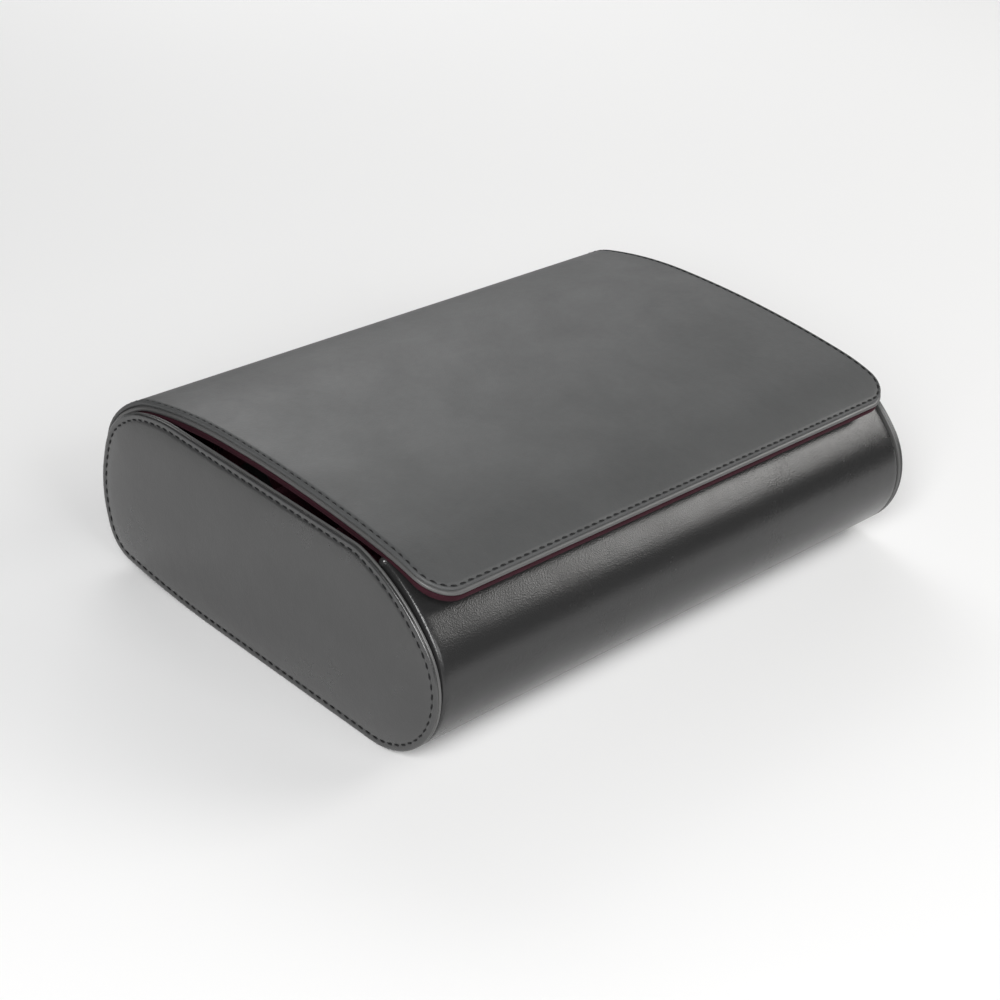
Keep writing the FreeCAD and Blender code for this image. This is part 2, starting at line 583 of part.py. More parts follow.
b = pulley("motor_pulley", D("motor_belt"), 1.5, 2.2)
b.Placement = Placement(V(D("belt_x"), D("motor_y"), D("motor_z")), Rotation())
keep("motor_pulley", b)
b = pulley("rotor_pulley", D("rotor_belt"), D("shaft_rad"), 2.2)
sk = sketch(b, [Part.Circle(V(0.0, 12.5, 0), V(0, 0, 1), 4.2)], "YZ_Plane", None, "_light")
f = pocket(b, sk)
pp = b.newObject("PartDesign::PolarPattern", "rotor_pulley_windows")
pp.Originals = [f]
pp.Axis = (sk, ["N_Axis"])
pp.Angle = 360
pp.Occurrences = 6
b.Tip = pp
doc.recompute()
b.Placement = Placement(V(D("belt_x"), D("spin_y"), D("spin_z")), Rotation())
keep("rotor_pulley", b)

# the round belt: two arcs on the pulleys and two straight runs between them
ra, rb = D("rotor_belt"), D("motor_belt")
ca, cb = (D("spin_y"), D("spin_z")), (D("motor_y"), D("motor_z"))
dist = math.hypot(cb[0] - ca[0], cb[1] - ca[1])
th = math.atan2(cb[1] - ca[1], cb[0] - ca[0])
al = math.acos((ra - rb) / dist)


def P3(q):
    return V(D("belt_x"), q[0], q[1])


def on(c, r, a):
    return (c[0] + r * math.cos(a), c[1] + r * math.sin(a))


path = Part.Wire([
    Part.LineSegment(P3(on(cb, rb, th + al)), P3(on(ca, ra, th + al))).toShape(),
    Part.Arc(P3(on(ca, ra, th + al)), P3(on(ca, ra, th + math.pi)), P3(on(ca, ra, th - al))).toShape(),
    Part.LineSegment(P3(on(ca, ra, th - al)), P3(on(cb, rb, th - al))).toShape(),
    Part.Arc(P3(on(cb, rb, th - al)), P3(on(cb, rb, th)), P3(on(cb, rb, th + al))).toShape()])
tan = V(0, ca[0] + ra * math.cos(th + al) - cb[0] - rb * math.cos(th + al), ca[1] + ra * math.sin(th + al) - cb[1] - rb * math.sin(th + al))
ring = Part.Wire(Part.Circle(P3(on(cb, rb, th + al)), tan, D("belt_rad")).toShape())
belt = doc.addObject("Part::Feature", "drive_belt_sweep")
shell = path.makePipeShell([ring], True, False)
belt.Shape = shell if shell.ShapeType == "Solid" else Part.makeSolid(shell)
print("belt volume %.1f, section times length %.1f" % (belt.Shape.Volume, math.pi * D("belt_rad") ** 2 * path.Length))
keep("drive_belt", belt)

keep("drive_shaft", cyl("X", -44.0, "Dims.spin_y", "Dims.spin_z", "Dims.shaft_rad", 88.0))


def bush(x, s):
    a = cyl("X", x - (3.0 if s > 0 else 0.0), "Dims.spin_y", "Dims.spin_z", 6.0, 3.0)
    c = cyl("X", x - (0.0 if s > 0 else 0.9), "Dims.spin_y", "Dims.spin_z", 7.5, 0.9)
    return cut(fuse(a, c), cyl("X", x - 5, "Dims.spin_y", "Dims.spin_z", "Dims.shaft_rad+0.03", 10.0))


keep("shaft_bushes", group(bush(-29.0, -1), bush(29.0, 1)))


def hexagon(af):
    r = af / math.sqrt(3)
    return polygon([(r * math.cos(math.pi / 3 * k), r * math.sin(math.pi / 3 * k)) for k in range(6)])


# Each side of the shaft carries a drive hub with a hexagonal boss, which
# turns the cushion's core. The core's outer end runs on a spring pin.
for side, s in (("left", -1), ("right", 1)):
    b = new_body(side + "_drive_hub")
    sk = sketch(b, [Part.Circle(V(0, 0, 0), V(0, 0, 1), 17.0)], "YZ_Plane", "33" if s > 0 else "-37", "_disc")
    pad(b, sk, 4.0)
    sk = sketch(b, hexagon(10.0), "YZ_Plane", "37" if s > 0 else "-44", "_hex")
    pad(b, sk, 7.0)
    sk = sketch(b, [Part.Circle(V(0, 0, 0), V(0, 0, 1), 7.0)], "YZ_Plane", "30.4" if s > 0 else "-33", "_boss")
    pad(b, sk, 2.6)
    sk = sketch(b, [Part.Circle(V(0, 0, 0), V(0, 0, 1), D("shaft_rad"))], "YZ_Plane", None, "_bore")
    pocket(b, sk)
    fillet(b, "0.8", lambda e, x=33.0 if s > 0 else -33.0, y=37.0 if s > 0 else -37.0: abs(e.BoundBox.XMax - e.BoundBox.XMin) < 1e-4 and min(abs(e.BoundBox.XMax - x), abs(e.BoundBox.XMax - y)) < 1e-3 and e.BoundBox.YLength > 33)
    b.Placement = Placement(V(0, D("spin_y"), D("spin_z")), Rotation())
    keep(side + "_drive_hub", b)

    b = new_body(side + "_cushion_core")
    x0 = "Dims.core_in" if s > 0 else "-Dims.core_out"
    sk = sketch(b, [Part.Circle(V(0, 0, 0), V(0, 0, 1), D("core_rad"))], "YZ_Plane", x0, "_tube")
    pad(b, sk, "Dims.core_out-Dims.core_in")
    sk = sketch(b, hexagon(10.4), "YZ_Plane", "Dims.core_in" if s > 0 else "-Dims.core_in", "_socket")
    pocket(b, sk, 7.0, s > 0)
    sk = sketch(b, [Part.Circle(V(0, 0, 0), V(0, 0, 1), D("pin_rad") + 0.05)], "YZ_Plane", "Dims.core_out" if s > 0 else "-Dims.core_out", "_pin_bore")
    pocket(b, sk, 7.0, s < 0)
    b.Placement = Placement(V(0, D("spin_y"), D("spin_z")), Rotation())
    keep(side + "_cushion_core", b)

    def oval(w, h, r):
        w, h = w / 2, h / 2
        q = [line((-w + r, -h), (w - r, -h)), line((w, -h + r), (w, h - r)), line((w - r, h), (-w + r, h)), line((-w, h - r), (-w, -h + r))]
        for cx, cy, a in ((w - r, -h + r, -0.5), (w - r, h - r, 0.0), (-w + r, h - r, 0.5), (-w + r, -h + r, 1.0)):
            q.append(Part.ArcOfCircle(Part.Circle(V(cx, cy, 0), V(0, 0, 1), r), a * math.pi, (a + 0.5) * math.pi))
        return q

    b = new_body(side + "_cushion")
    sk = sketch(b, oval(D("cushion_wide"), D("cushion_high"), D("cushion_round")), "YZ_Plane", x0, "_oval")
    pad(b, sk, "Dims.core_out-Dims.core_in")
    fillet(b, "5", lambda e: abs(e.BoundBox.XMax - e.BoundBox.XMin) < 1e-4)
    sk = sketch(b, [Part.Circle(V(0, 0, 0), V(0, 0, 1), D("core_rad"))], "YZ_Plane", None, "_bore")
    pocket(b, sk)
    b.Placement = Placement(V(0, D("spin_y"), D("spin_z")), Rotation())
    keep(side + "_cushion", b)

    # spring pin: nose in the core, thumb collar, tail in the bearing block
    b = new_body(side + "_idler_pin")
    pr = D("pin_rad")
    g = polygon([(99.0, 0.0), (99.0, pr - 0.8), (99.8, pr), (105.0, pr), (105.0, 8.0), (107.5, 8.0), (107.5, pr), (125.0, pr), (125.0, 0.0)])
    if s < 0:
        g = polygon([(-99.0, 0.0), (-99.0, pr - 0.8), (-99.8, pr), (-105.0, pr), (-105.0, 8.0), (-107.5, 8.0), (-107.5, pr), (-125.0, pr), (-125.0, 0.0)])
    sk = sketch(b, g, "XY_Plane")
    r = b.newObject("PartDesign::Revolution", side + "_idler_pin_turn")
    r.Profile = sk
    r.ReferenceAxis = (sk, ["H_Axis"])
    r.Angle = 360
    doc.recompute()
    b.Placement = Placement(V(0, D("spin_y"), D("spin_z")), Rotation())
    keep(side + "_idler_pin", b)

blocks, springs = [], []
for s in (-1, 1):
    a = (D("block_in"), D("block_out")) if s > 0 else (-D("block_out"), -D("block_in"))
    blk = common(box(a[0], a[1], 32.0, 60.0, 0, 56.0), A7)
    seat = cyl("X", 112.0 if s > 0 else -121.0, "Dims.spin_y", "Dims.spin_z", 7.0, 9.0)
    guide = cyl("X", 118.0 if s > 0 else -131.6, "Dims.spin_y", "Dims.spin_z", "Dims.pin_rad+0.05", 13.6)
    blocks.append(cut(blk, group(seat, guide)))
    # a compression spring between the collar and the bottom of the counterbore
    hel = Part.makeHelix(2.05, 12.3, 5.3)
    prof = Part.Wire(Part.Circle(V(5.3, 0, 0), V(0, 1, 0), 0.45).toShape())
    sh = Part.Wire(hel.Edges).makePipeShell([prof], True, True)
    sp = doc.addObject("Part::Feature", uid("idler_spring"))
    sp.Shape = sh if sh.ShapeType == "Solid" else Part.makeSolid(sh)
    sp.Placement = Placement(V(108.1 if s > 0 else -120.4, D("spin_y"), D("spin_z")), Rotation(V(0, 1, 0), 90))
    springs.append(sp)
keep("bearing_blocks", group(*blocks))
keep("idler_springs", group(*springs))

# ------------------------------------------------------------ storage pillows


def pillow(name, x):
    b = new_body(name)
    w, h, r = D("pillow_wide"), D("pillow_high"), 16.0
    sk = sketch(b, oval(w, h, r), "YZ_Plane", -D("pillow_long") / 2, "_oval")
    pad(b, sk, "Dims.pillow_long")
    fillet(b, "5", lambda e: abs(e.BoundBox.XMax - e.BoundBox.XMin) < 1e-4)
    b.Placement = Placement(V(x, (D("front_row") + D("bay_back")) / 2, 8.0 + h / 2), Rotation())
    return b


keep("left_storage_pillows", group(pillow("pillow_a", -106.6), pillow("pillow_b", -54.0)))
keep("right_storage_pillows", group(pillow("pillow_c", 54.0), pillow("pillow_d", 106.6)))

# --------------------------------------------------------------------- export
doc.recompute()
bad = [o.Name for o in doc.Objects if any(k in o.State for k in ("Invalid", "Error"))]
if bad:
    raise RuntimeError("failed objects: %s" % bad)
low, high = [1e9] * 3, [-1e9] * 3
for name, o in sorted(nodes.items()):
    sh = o.Shape
    if sh.isNull() or not sh.isValid() or not sh.Solids:
        raise RuntimeError("bad shape: " + name)
    bb = sh.optimalBoundingBox(False)
    for i, (a, b) in enumerate(((bb.XMin, bb.XMax), (bb.YMin, bb.YMax), (bb.ZMin, bb.ZMax))):
        low[i], high[i] = min(low[i], a), max(high[i], b)
    print("%-26s %d solid(s) %10.1f mm3  x %7.2f %7.2f  y %7.2f %7.2f  z %7.2f %7.2f" % (name, len(sh.Solids), sh.Volume, bb.XMin, bb.XMax, bb.YMin, bb.YMax, bb.ZMin, bb.ZMax))
if len(nodes) > 60:
    raise RuntimeError("too many nodes: %d" % len(nodes))
for name, o in nodes.items():
    o.Shape.exportStep("parts/%s.step" % name)
print(len(nodes), "nodes, box", [round(v, 2) for v in low], [round(v, 2) for v in high])
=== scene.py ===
import json
import math

import bmesh
import bpy
import numpy as np
from mathutils import Matrix, Vector
from mathutils.geometry import delaunay_2d_cdt

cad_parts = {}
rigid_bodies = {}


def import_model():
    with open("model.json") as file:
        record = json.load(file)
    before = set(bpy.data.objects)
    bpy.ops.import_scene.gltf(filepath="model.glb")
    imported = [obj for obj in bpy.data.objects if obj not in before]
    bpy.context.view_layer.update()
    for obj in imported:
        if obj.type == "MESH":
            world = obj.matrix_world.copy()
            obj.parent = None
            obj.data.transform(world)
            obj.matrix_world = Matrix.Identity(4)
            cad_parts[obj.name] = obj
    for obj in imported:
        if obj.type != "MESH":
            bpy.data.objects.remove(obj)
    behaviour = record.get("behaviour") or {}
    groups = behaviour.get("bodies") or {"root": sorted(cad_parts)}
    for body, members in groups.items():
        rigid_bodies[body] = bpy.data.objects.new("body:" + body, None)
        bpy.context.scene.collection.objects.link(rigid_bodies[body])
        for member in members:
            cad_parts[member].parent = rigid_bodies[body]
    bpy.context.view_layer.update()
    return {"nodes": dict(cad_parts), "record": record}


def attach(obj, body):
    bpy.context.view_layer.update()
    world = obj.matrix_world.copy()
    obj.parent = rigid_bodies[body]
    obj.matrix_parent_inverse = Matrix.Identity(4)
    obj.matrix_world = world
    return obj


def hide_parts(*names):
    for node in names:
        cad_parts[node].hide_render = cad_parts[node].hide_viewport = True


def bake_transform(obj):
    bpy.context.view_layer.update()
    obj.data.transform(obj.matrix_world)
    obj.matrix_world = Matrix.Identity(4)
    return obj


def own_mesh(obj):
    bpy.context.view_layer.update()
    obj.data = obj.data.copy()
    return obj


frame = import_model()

MM = 0.001
scene = bpy.context.scene
for o in list(scene.objects):
    if o.name in ("Cube", "Light", "Camera"):
        bpy.data.objects.remove(o)

# --------------------------------------------------------------- the outline
# The case outline and the flap's outer face as tangent arcs and lines in the
# Y-Z plane, in millimetres, the same as in the CAD source.


class Chain:
    def __init__(self, start, heading, spans):
        self.seg, self.length = [], 0.0
        p, a = start, heading
        for r, q in spans:
            if r is None:
                n = dict(kind="L", len=q, p=p, a=a)
                p = (p[0] + q * math.cos(a), p[1] + q * math.sin(a))
            else:
                t = math.radians(q)
                c = (p[0] - r * math.sin(a), p[1] + r * math.cos(a))
                n = dict(kind="A", len=r * t, p=p, a=a, r=r, c=c)
                a += t
                p = (c[0] + r * math.sin(a), c[1] - r * math.cos(a))
            n["s"] = self.length
            self.length += n["len"]
            self.seg.append(n)
        self.end, self.heading = p, a

    def at(self, s, d=0.0):
        s = s % self.length if s > self.length + 1e-9 else s
        for n in self.seg:
            if s <= n["s"] + n["len"] + 1e-9:
                u = s - n["s"]
                a = n["a"] + (u / n["r"] if n["kind"] == "A" else 0.0)
                if n["kind"] == "A":
                    return (n["c"][0] + (n["r"] - d) * math.sin(a), n["c"][1] - (n["r"] - d) * math.cos(a)), a
                return (n["p"][0] + u * math.cos(a) - d * math.sin(a), n["p"][1] + u * math.sin(a) + d * math.cos(a)), a
        raise ValueError(s)

    def find(self, s0, s1, test):
        f0 = test(*self.at(s0)[0])
        for _ in range(60):
            m = 0.5 * (s0 + s1)
            if (test(*self.at(m)[0]) > 0) == (f0 > 0):
                s0 = m
            else:
                s1 = m
        return 0.5 * (s0 + s1)

    def samples(self, s0, s1, step):
        """Lengths from s0 to s1, closer together where the line bends."""
        out = [s0]
        while out[-1] < s1 - 1e-6:
            s = out[-1]
            w = s % self.length
            r = 1e9
            for n in self.seg:
                if n["s"] - 3 <= w <= n["s"] + n["len"] + 3 and n["kind"] == "A":
                    r = min(r, n["r"])
            out.append(s + min(step, max(0.8, 0.09 * r)))
        k = (s1 - s0) / (out[-1] - s0)
        return [s0 + (s - s0) * k for s in out]


spans = [(430.484, 7.506), (17.404, 59.075), (73.163, 28.960), (19.495, 50.496), (73.852, 34.214),
         (None, 99.691), (20.728, 15.266), (76.434, 32.098)]
start_y = 24.067
part_way = Chain((start_y, 0.0), 0.0, spans)
last_turn = 360.0 - math.degrees(part_way.heading)
last_rad = -part_way.end[1] / (math.cos(part_way.heading) - 1.0)
nose = Chain((start_y, 0.0), 0.0, spans + [(last_rad, last_turn)])
OUT = Chain((start_y, 0.0), 0.0, spans + [(last_rad, last_turn), (None, start_y - nose.end[0])])
HINGE = OUT.seg[0]["len"] + OUT.seg[1]["len"] + 73.163 * (math.pi / 2 - OUT.seg[2]["a"])
hinge_y, hinge_z = OUT.at(HINGE)[0]
SHOULDER = OUT.find(OUT.seg[5]["s"] + 20, OUT.seg[8]["s"], lambda y, z: y + 62.0)
FLAP = Chain((hinge_y, hinge_z), math.pi / 2, [(None, 46.0 - hinge_z), (32.166, 75.052), (208.828, 12.690), (571.604, 9.306), (87.444, 19.121)])
FLEX = 10.0
CASE, PLY, WRAP, FLAPW = 140.0, 1.4, 137.2, 134.65

# ------------------------------------------------------------ mesh utilities


def new_object(name, bm, material, sharp=42.0):
    """Finishes a bmesh in millimetres into an object in metres."""
    bmesh.ops.scale(bm, vec=(MM, MM, MM), verts=bm.verts)
    lim = math.radians(sharp)
    for f in bm.faces:
        f.smooth = True
    for e in bm.edges:
        if len(e.link_faces) == 2:
            e.smooth = e.calc_face_angle(0.0) < lim
    me = bpy.data.meshes.new(name)
    bm.to_mesh(me)
    bm.free()
    o = bpy.data.objects.new(name, me)
    scene.collection.objects.link(o)
    if material is not None:
        me.materials.append(material)
    return o


def inside(poly, pts):
    """Which pts are inside the polygon, and how far each is from its edge."""
    a, b = poly, np.roll(poly, -1, axis=0)
    hit = np.zeros(len(pts), bool)
    far = np.full(len(pts), 1e9)
    for (x0, y0), (x1, y1) in zip(a, b):
        if (y0 > y1) != (y0 < y1) or y0 != y1:
            c = (y0 > pts[:, 1]) != (y1 > pts[:, 1])
            with np.errstate(divide="ignore", invalid="ignore"):
                xi = (x1 - x0) * (pts[:, 1] - y0) / (y1 - y0) + x0
            hit ^= c & (pts[:, 0] < xi)
        dx, dy = x1 - x0, y1 - y0
        q = dx * dx + dy * dy
        if q < 1e-12:
            continue
        t = np.clip(((pts[:, 0] - x0) * dx + (pts[:, 1] - y0) * dy) / q, 0, 1)
        far = np.minimum(far, np.hypot(pts[:, 0] - x0 - t * dx, pts[:, 1] - y0 - t * dy))
    return hit, far


def fill(poly, step_u, step_v):
    """Triangles that fill a polygon, with grid points inside it: points, triangles and distance from the edge. The polygon's points come first."""
    lo, hi = poly.min(0), poly.max(0)
    us = np.linspace(lo[0], hi[0], max(2, int((hi[0] - lo[0]) / step_u) + 1))
    vs = np.linspace(lo[1], hi[1], max(2, int((hi[1] - lo[1]) / step_v) + 1))
    g = []
    for i, v in enumerate(vs):
        off = 0.5 * (us[1] - us[0]) if i % 2 else 0.0
        g += [(u + off, v) for u in us]
    g = np.array(g)
    ok, far = inside(poly, g)
    ok &= far > 0.45 * min(step_u, step_v)
    pts = np.vstack([poly, g[ok]])
    dist = np.concatenate([np.zeros(len(poly)), far[ok]])
    n = len(poly)
    co, ed, fa, ov, oe, of_ = delaunay_2d_cdt([Vector(p) for p in pts], [], [list(range(n))], 1, 1e-7)
    back = {i: orig[0] for i, orig in enumerate(ov) if orig}
    if len(back) != len(co) or len(co) != len(pts):
        raise RuntimeError("fill changed its points: %d, not %d" % (len(co), len(pts)))
    return pts, [[back[i] for i in f] for f in fa], dist


def slab(name, outline, profile, mapping, material, step=(6.0, 4.0), front=None, sharp=42.0):
    """A closed sheet. outline(inset) gives its 2-D edge as an array, profile is (inset, depth) from the front face round the edge to the back face, mapping(u, v, depth) gives the point in space. front(u, v, distance) adds depth to the front face."""
    bm = bmesh.new()
    rings = []
    for inset, depth in profile:
        pts = outline(inset)
        rings.append([bm.verts.new(mapping(u, v, depth)) for u, v in pts])
    n = len(rings[0])
    for a, b in zip(rings, rings[1:]):
        for i in range(n):
            j = (i + 1) % n
            bm.faces.new((a[i], a[j], b[j], b[i]))
    for k, ring in ((0, rings[0]), (-1, rings[-1])):
        inset, depth = profile[k]
        poly = outline(inset)
        pts, tris, dist = fill(poly, *step)
        vs = list(ring)
        for (u, v), d in zip(pts[n:], dist[n:]):
            extra = front(u, v, inset + d) if front is not None and k == 0 else 0.0
            vs.append(bm.verts.new(mapping(u, v, depth + extra)))
        for f in tris:
            bm.faces.new([vs[i] for i in f])
    bmesh.ops.recalc_face_normals(bm, faces=bm.faces)
    return new_object(name, bm, material, sharp)


def tube(bm, path, rad, sides=6, ends=True, squash=1.0, normal=None):
    """A capped round tube along 3-D points, as a part of bm. rad may be a list."""
    rings = []
    m = len(path)
    P = [Vector(p) for p in path]
    for i in range(m):
        t = (P[min(i + 1, m - 1)] - P[max(i - 1, 0)]).normalized()
        n = Vector(normal[i] if normal is not None else (0, 0, 1))
        n = (n - t * n.dot(t))
        n = n.normalized() if n.length > 1e-6 else t.orthogonal().normalized()
        b = t.cross(n)
        r = rad[i] if hasattr(rad, "__len__") else rad
        rings.append([bm.verts.new(P[i] + (n * math.cos(q) * squash + b * math.sin(q)) * r) for q in (2 * math.pi * k / sides for k in range(sides))])
    for a, b in zip(rings, rings[1:]):
        for k in range(sides):
            j = (k + 1) % sides
            bm.faces.new((a[k], a[j], b[j], b[k]))
    if ends:
        bm.faces.new(list(reversed(rings[0])))
        bm.faces.new(rings[-1])


def loop_length(pts):
    return np.concatenate([[0], np.cumsum(np.linalg.norm(np.diff(pts, axis=0), axis=1))])


def stitches(name, line, mapping, up, material, pitch=4.0, run=3.1, rad=0.33, sink=0.42, lift=0.10, depth0=0.0, slant=0.0):
    """Separate sewn stitches along an open 2-D line, each a thread that dives into its holes at both ends."""
    line = np.asarray(line, float)
    s = loop_length(line)
    n = max(1, int(round(s[-1] / pitch)))
    p = s[-1] / n
    bm = bmesh.new()
    for k in range(n):
        mid = (k + 0.5) * p
        at, nr = [], []
        for f, dp in ((-0.5, sink), (-0.40, 0.12), (-0.22, -lift), (0.0, -lift * 1.25), (0.22, -lift), (0.40, 0.12), (0.5, sink)):
            q = mid + f * run
            u, v = np.interp(q, s, line[:, 0]), np.interp(q, s, line[:, 1])
            if slant:
                du, dv = np.interp(q + 0.2, s, line[:, 0]) - np.interp(q - 0.2, s, line[:, 0]), np.interp(q + 0.2, s, line[:, 1]) - np.interp(q - 0.2, s, line[:, 1])
                L = math.hypot(du, dv) or 1.0
                u, v = u - dv / L * slant * f, v + du / L * slant * f
            at.append(mapping(u, v, depth0 + dp))
            nr.append(up(u, v))
        tube(bm, at, [rad * 0.7, rad * 0.95, rad, rad, rad, rad * 0.95, rad * 0.7], 6, True, 0.8, nr)
    bmesh.ops.recalc_face_normals(bm, faces=bm.faces)
    return new_object(name, bm, material, 60.0)

# ----------------------------------------------------------------- materials


class Mat:
    """A node material with short helpers."""

    def __init__(self, name, color, rough, **extra):
        self.m = bpy.data.materials.new(name)
        self.m.use_nodes = True
        self.nt = self.m.node_tree
        self.b = self.nt.nodes["Principled BSDF"]
        self.b.inputs["Base Color"].default_value = (*color, 1.0)
        self.b.inputs["Roughness"].default_value = rough
        for k, v in extra.items():
            self.b.inputs[k.replace("_", " ")].default_value = v
        self.m.diffuse_color = (*color, 1.0)
        self.tc = self.nt.nodes.new("ShaderNodeTexCoord")
        self.normal = None

    def node(self, kind, inputs=None, **props):
        n = self.nt.nodes.new("ShaderNode" + kind)
        for k, v in props.items():
            setattr(n, k, v)
        for k, v in (inputs or {}).items():
            if isinstance(v, bpy.types.NodeSocket):
                self.nt.links.new(v, n.inputs[k])
            else:
                n.inputs[k].default_value = v
        return n

    def noise(self, size, detail=2.0, rough=0.5, stretch=None, distortion=0.0):
        """Noise whose features are size metres across."""
        v = self.tc.outputs["Object"]
        if stretch:
            v = self.node("Mapping", {"Vector": v, "Scale": stretch}).outputs[0]
        return self.node("TexNoise", {"Vector": v, "Scale": 1.0 / size, "Detail": detail, "Roughness": rough, "Distortion": distortion}).outputs["Fac"]

    def cells(self, size, feature="SMOOTH_F1", rand=1.0):
        n = self.node("TexVoronoi", {"Vector": self.tc.outputs["Object"]}, feature=feature)
        n.inputs["Scale"].default_value = 1.0 / size
        n.inputs["Randomness"].default_value = rand
        return n.outputs["Distance"]

    def span(self, fac, a, b, c, d):
        return self.node("MapRange", {"Value": fac, "From Min": a, "From Max": b, "To Min": c, "To Max": d}).outputs[0]

    def math(self, op, a, b):
        n = self.node("Math", operation=op)
        for k, v in enumerate((a, b)):
            if isinstance(v, bpy.types.NodeSocket):
                self.nt.links.new(v, n.inputs[k])
            else:
                n.inputs[k].default_value = v
        return n.outputs[0]

    def tint(self, fac, low, high):
        n = self.node("MixRGB", {"Fac": fac, "Color1": (*low, 1.0), "Color2": (*high, 1.0)})
        return n.outputs[0]

    def mix(self, fac, a, b):
        return self.node("MixRGB", {"Fac": fac, "Color1": a, "Color2": b}).outputs[0]

    def bump(self, height, dist, strength=1.0):
        n = self.node("Bump", {"Height": height, "Distance": dist, "Strength": strength})
        if self.normal is not None:
            self.nt.links.new(self.normal, n.inputs["Normal"])
        self.normal = n.outputs[0]

    def color(self, socket):
        self.nt.links.new(socket, self.b.inputs["Base Color"])

    def rough(self, socket):
        self.nt.links.new(socket, self.b.inputs["Roughness"])

    def done(self):
        if self.normal is not None:
            self.nt.links.new(self.normal, self.b.inputs["Normal"])
        return self.m


def scaled(c, k):
    return tuple(min(1.0, v * k) for v in c)


def leather(name, color, rough, mottle=0.10, grain=1.0, wave=1.0, spec=0.5, coat=0.0, crease=0.55, pore=0.00062, rear=None):
    m = Mat(name, color, rough, Specular_IOR_Level=spec, Coat_Weight=coat, Coat_Roughness=0.28)
    cloud = m.noise(0.034, 4.0, 0.58, distortion=0.4)
    speck = m.noise(0.0035, 3.0, 0.6)
    f = m.math("ADD", m.math("MULTIPLY", cloud, 0.72), m.math("MULTIPLY", speck, 0.28))
    f = m.span(f, 0.30, 0.70, 0.0, 1.0)
    pores = m.cells(pore)
    col = m.tint(f, scaled(color, 1 - mottle), scaled(color, 1 + mottle))
    col = m.mix(m.span(pores, 0.0, 0.24, 0.35, 0.0), col, (*scaled(color, 0.72), 1.0))
    dull = m.span(f, 0.0, 1.0, rough + 0.045, rough - 0.045)
    if rear:
        # painted light and shade: the same hide is coloured darker on its front and in the flap's lighter tone at its
        # back, switching across the underside, and its roughness goes from the glossier front to the duller back
        y = m.node("SeparateXYZ", {"Vector": m.tc.outputs["Object"]}).outputs["Y"]
        k = m.span(y, 0.0, 0.05, 0.0, 1.0)
        col = m.mix(k, col, m.tint(f, scaled(rear[0], 1 - mottle), scaled(rear[0], 1 + mottle)))
        dull = m.math("ADD", dull, m.math("MULTIPLY", k, rear[1] - rough))
    m.color(col)
    m.rough(dull)
    m.bump(m.noise(0.026, 3.0, 0.5), 0.0011 * wave, 0.30)
    m.bump(m.noise(0.0028, 3.0, 0.55), 0.00010 * wave, crease)
    m.bump(pores, 0.00007 * grain, 0.9)
    m.bump(m.noise(0.00035, 2.0, 0.5), 0.00003 * grain, 0.8)
    return m.done()


def suede(name, color, nap=0.22, sheen=0.35):
    m = Mat(name, color, 0.95, Specular_IOR_Level=0.18, Sheen_Weight=sheen, Sheen_Roughness=0.45, Sheen_Tint=(0.62, 0.24, 0.33, 1.0))
    brushed = m.noise(0.011, 4.0, 0.62, stretch=(1.0, 0.45, 0.8), distortion=0.8)
    fluff = m.noise(0.0007, 3.0, 0.65)
    f = m.math("ADD", m.math("MULTIPLY", brushed, 0.6), m.math("MULTIPLY", fluff, 0.4))
    m.color(m.tint(m.span(f, 0.32, 0.68, 0.0, 1.0), scaled(color, 1 - nap), scaled(color, 1 + nap)))
    m.rough(m.span(f, 0.3, 0.7, 0.98, 0.86))
    m.bump(m.noise(0.009, 3.0, 0.5), 0.0003, 0.5)
    m.bump(fluff, 0.00022, 0.8)
    return m.done()


def plastic(name, color, rough=0.45, grain=0.0007, depth=0.00004):
    m = Mat(name, color, rough)
    a = m.noise(0.02, 3.0, 0.5)
    m.color(m.tint(m.span(a, 0.35, 0.65, 0.0, 1.0), scaled(color, 0.92), scaled(color, 1.08)))
    m.rough(m.span(m.noise(0.004, 3.0, 0.6), 0.3, 0.7, rough - 0.05, rough + 0.06))
    m.bump(m.cells(grain, "F1"), depth, 0.7)
    return m.done()


def metal(name, color, rough=0.3, brush=(1.0, 40.0, 40.0), depth=0.00001):
    m = Mat(name, color, rough, Metallic=1.0)
    n = m.noise(0.004, 3.0, 0.6, stretch=brush)
    m.color(m.tint(m.span(n, 0.3, 0.7, 0.0, 1.0), scaled(color, 0.88), scaled(color, 1.06)))
    m.rough(m.span(n, 0.3, 0.7, rough - 0.06, rough + 0.08))
    m.bump(n, depth, 0.7)
    return m.done()


# painted light and shade: these three leathers are one hide coloured as lit and shaded copies, the flap lightest, the
# end panels darker and the wrap's front wall darkest, each toned for how light falls on it; the wrap's back takes the
# flap's tone
FLAP_LEATHER = leather("flap_calf_painted_lighter", (0.071, 0.0726, 0.073), 0.50, mottle=0.10, grain=0.8, wave=0.9, spec=0.42)
PANEL_LEATHER = leather("panel_calf_painted_darker", (0.030, 0.0302, 0.0302), 0.30, mottle=0.10, grain=0.5, wave=0.8, spec=0.95)
WRAP_LEATHER = leather("wrap_calf_painted_dark_front", (0.023, 0.0230, 0.0232), 0.25, mottle=0.10, grain=0.9, wave=0.7, spec=0.5, crease=0.2, pore=0.0005, rear=((0.071, 0.0726, 0.073), 0.50))
EDGE_PAINT = leather("painted_edge", (0.095, 0.095, 0.094), 0.36, mottle=0.05, grain=0.35, wave=0.3, spec=0.5)
CORNER_LEATHER = leather("corner_calf", (0.03, 0.030, 0.0302), 0.16, mottle=0.05, grain=0.3, wave=0.4, spec=0.8)
THREAD = None
_t = Mat("waxed_thread", (0.012, 0.012, 0.013), 0.55, Specular_IOR_Level=0.35)
_t.color(_t.tint(_t.noise(0.0004, 2.0), (0.003, 0.003, 0.0035), (0.009, 0.009, 0.0095)))
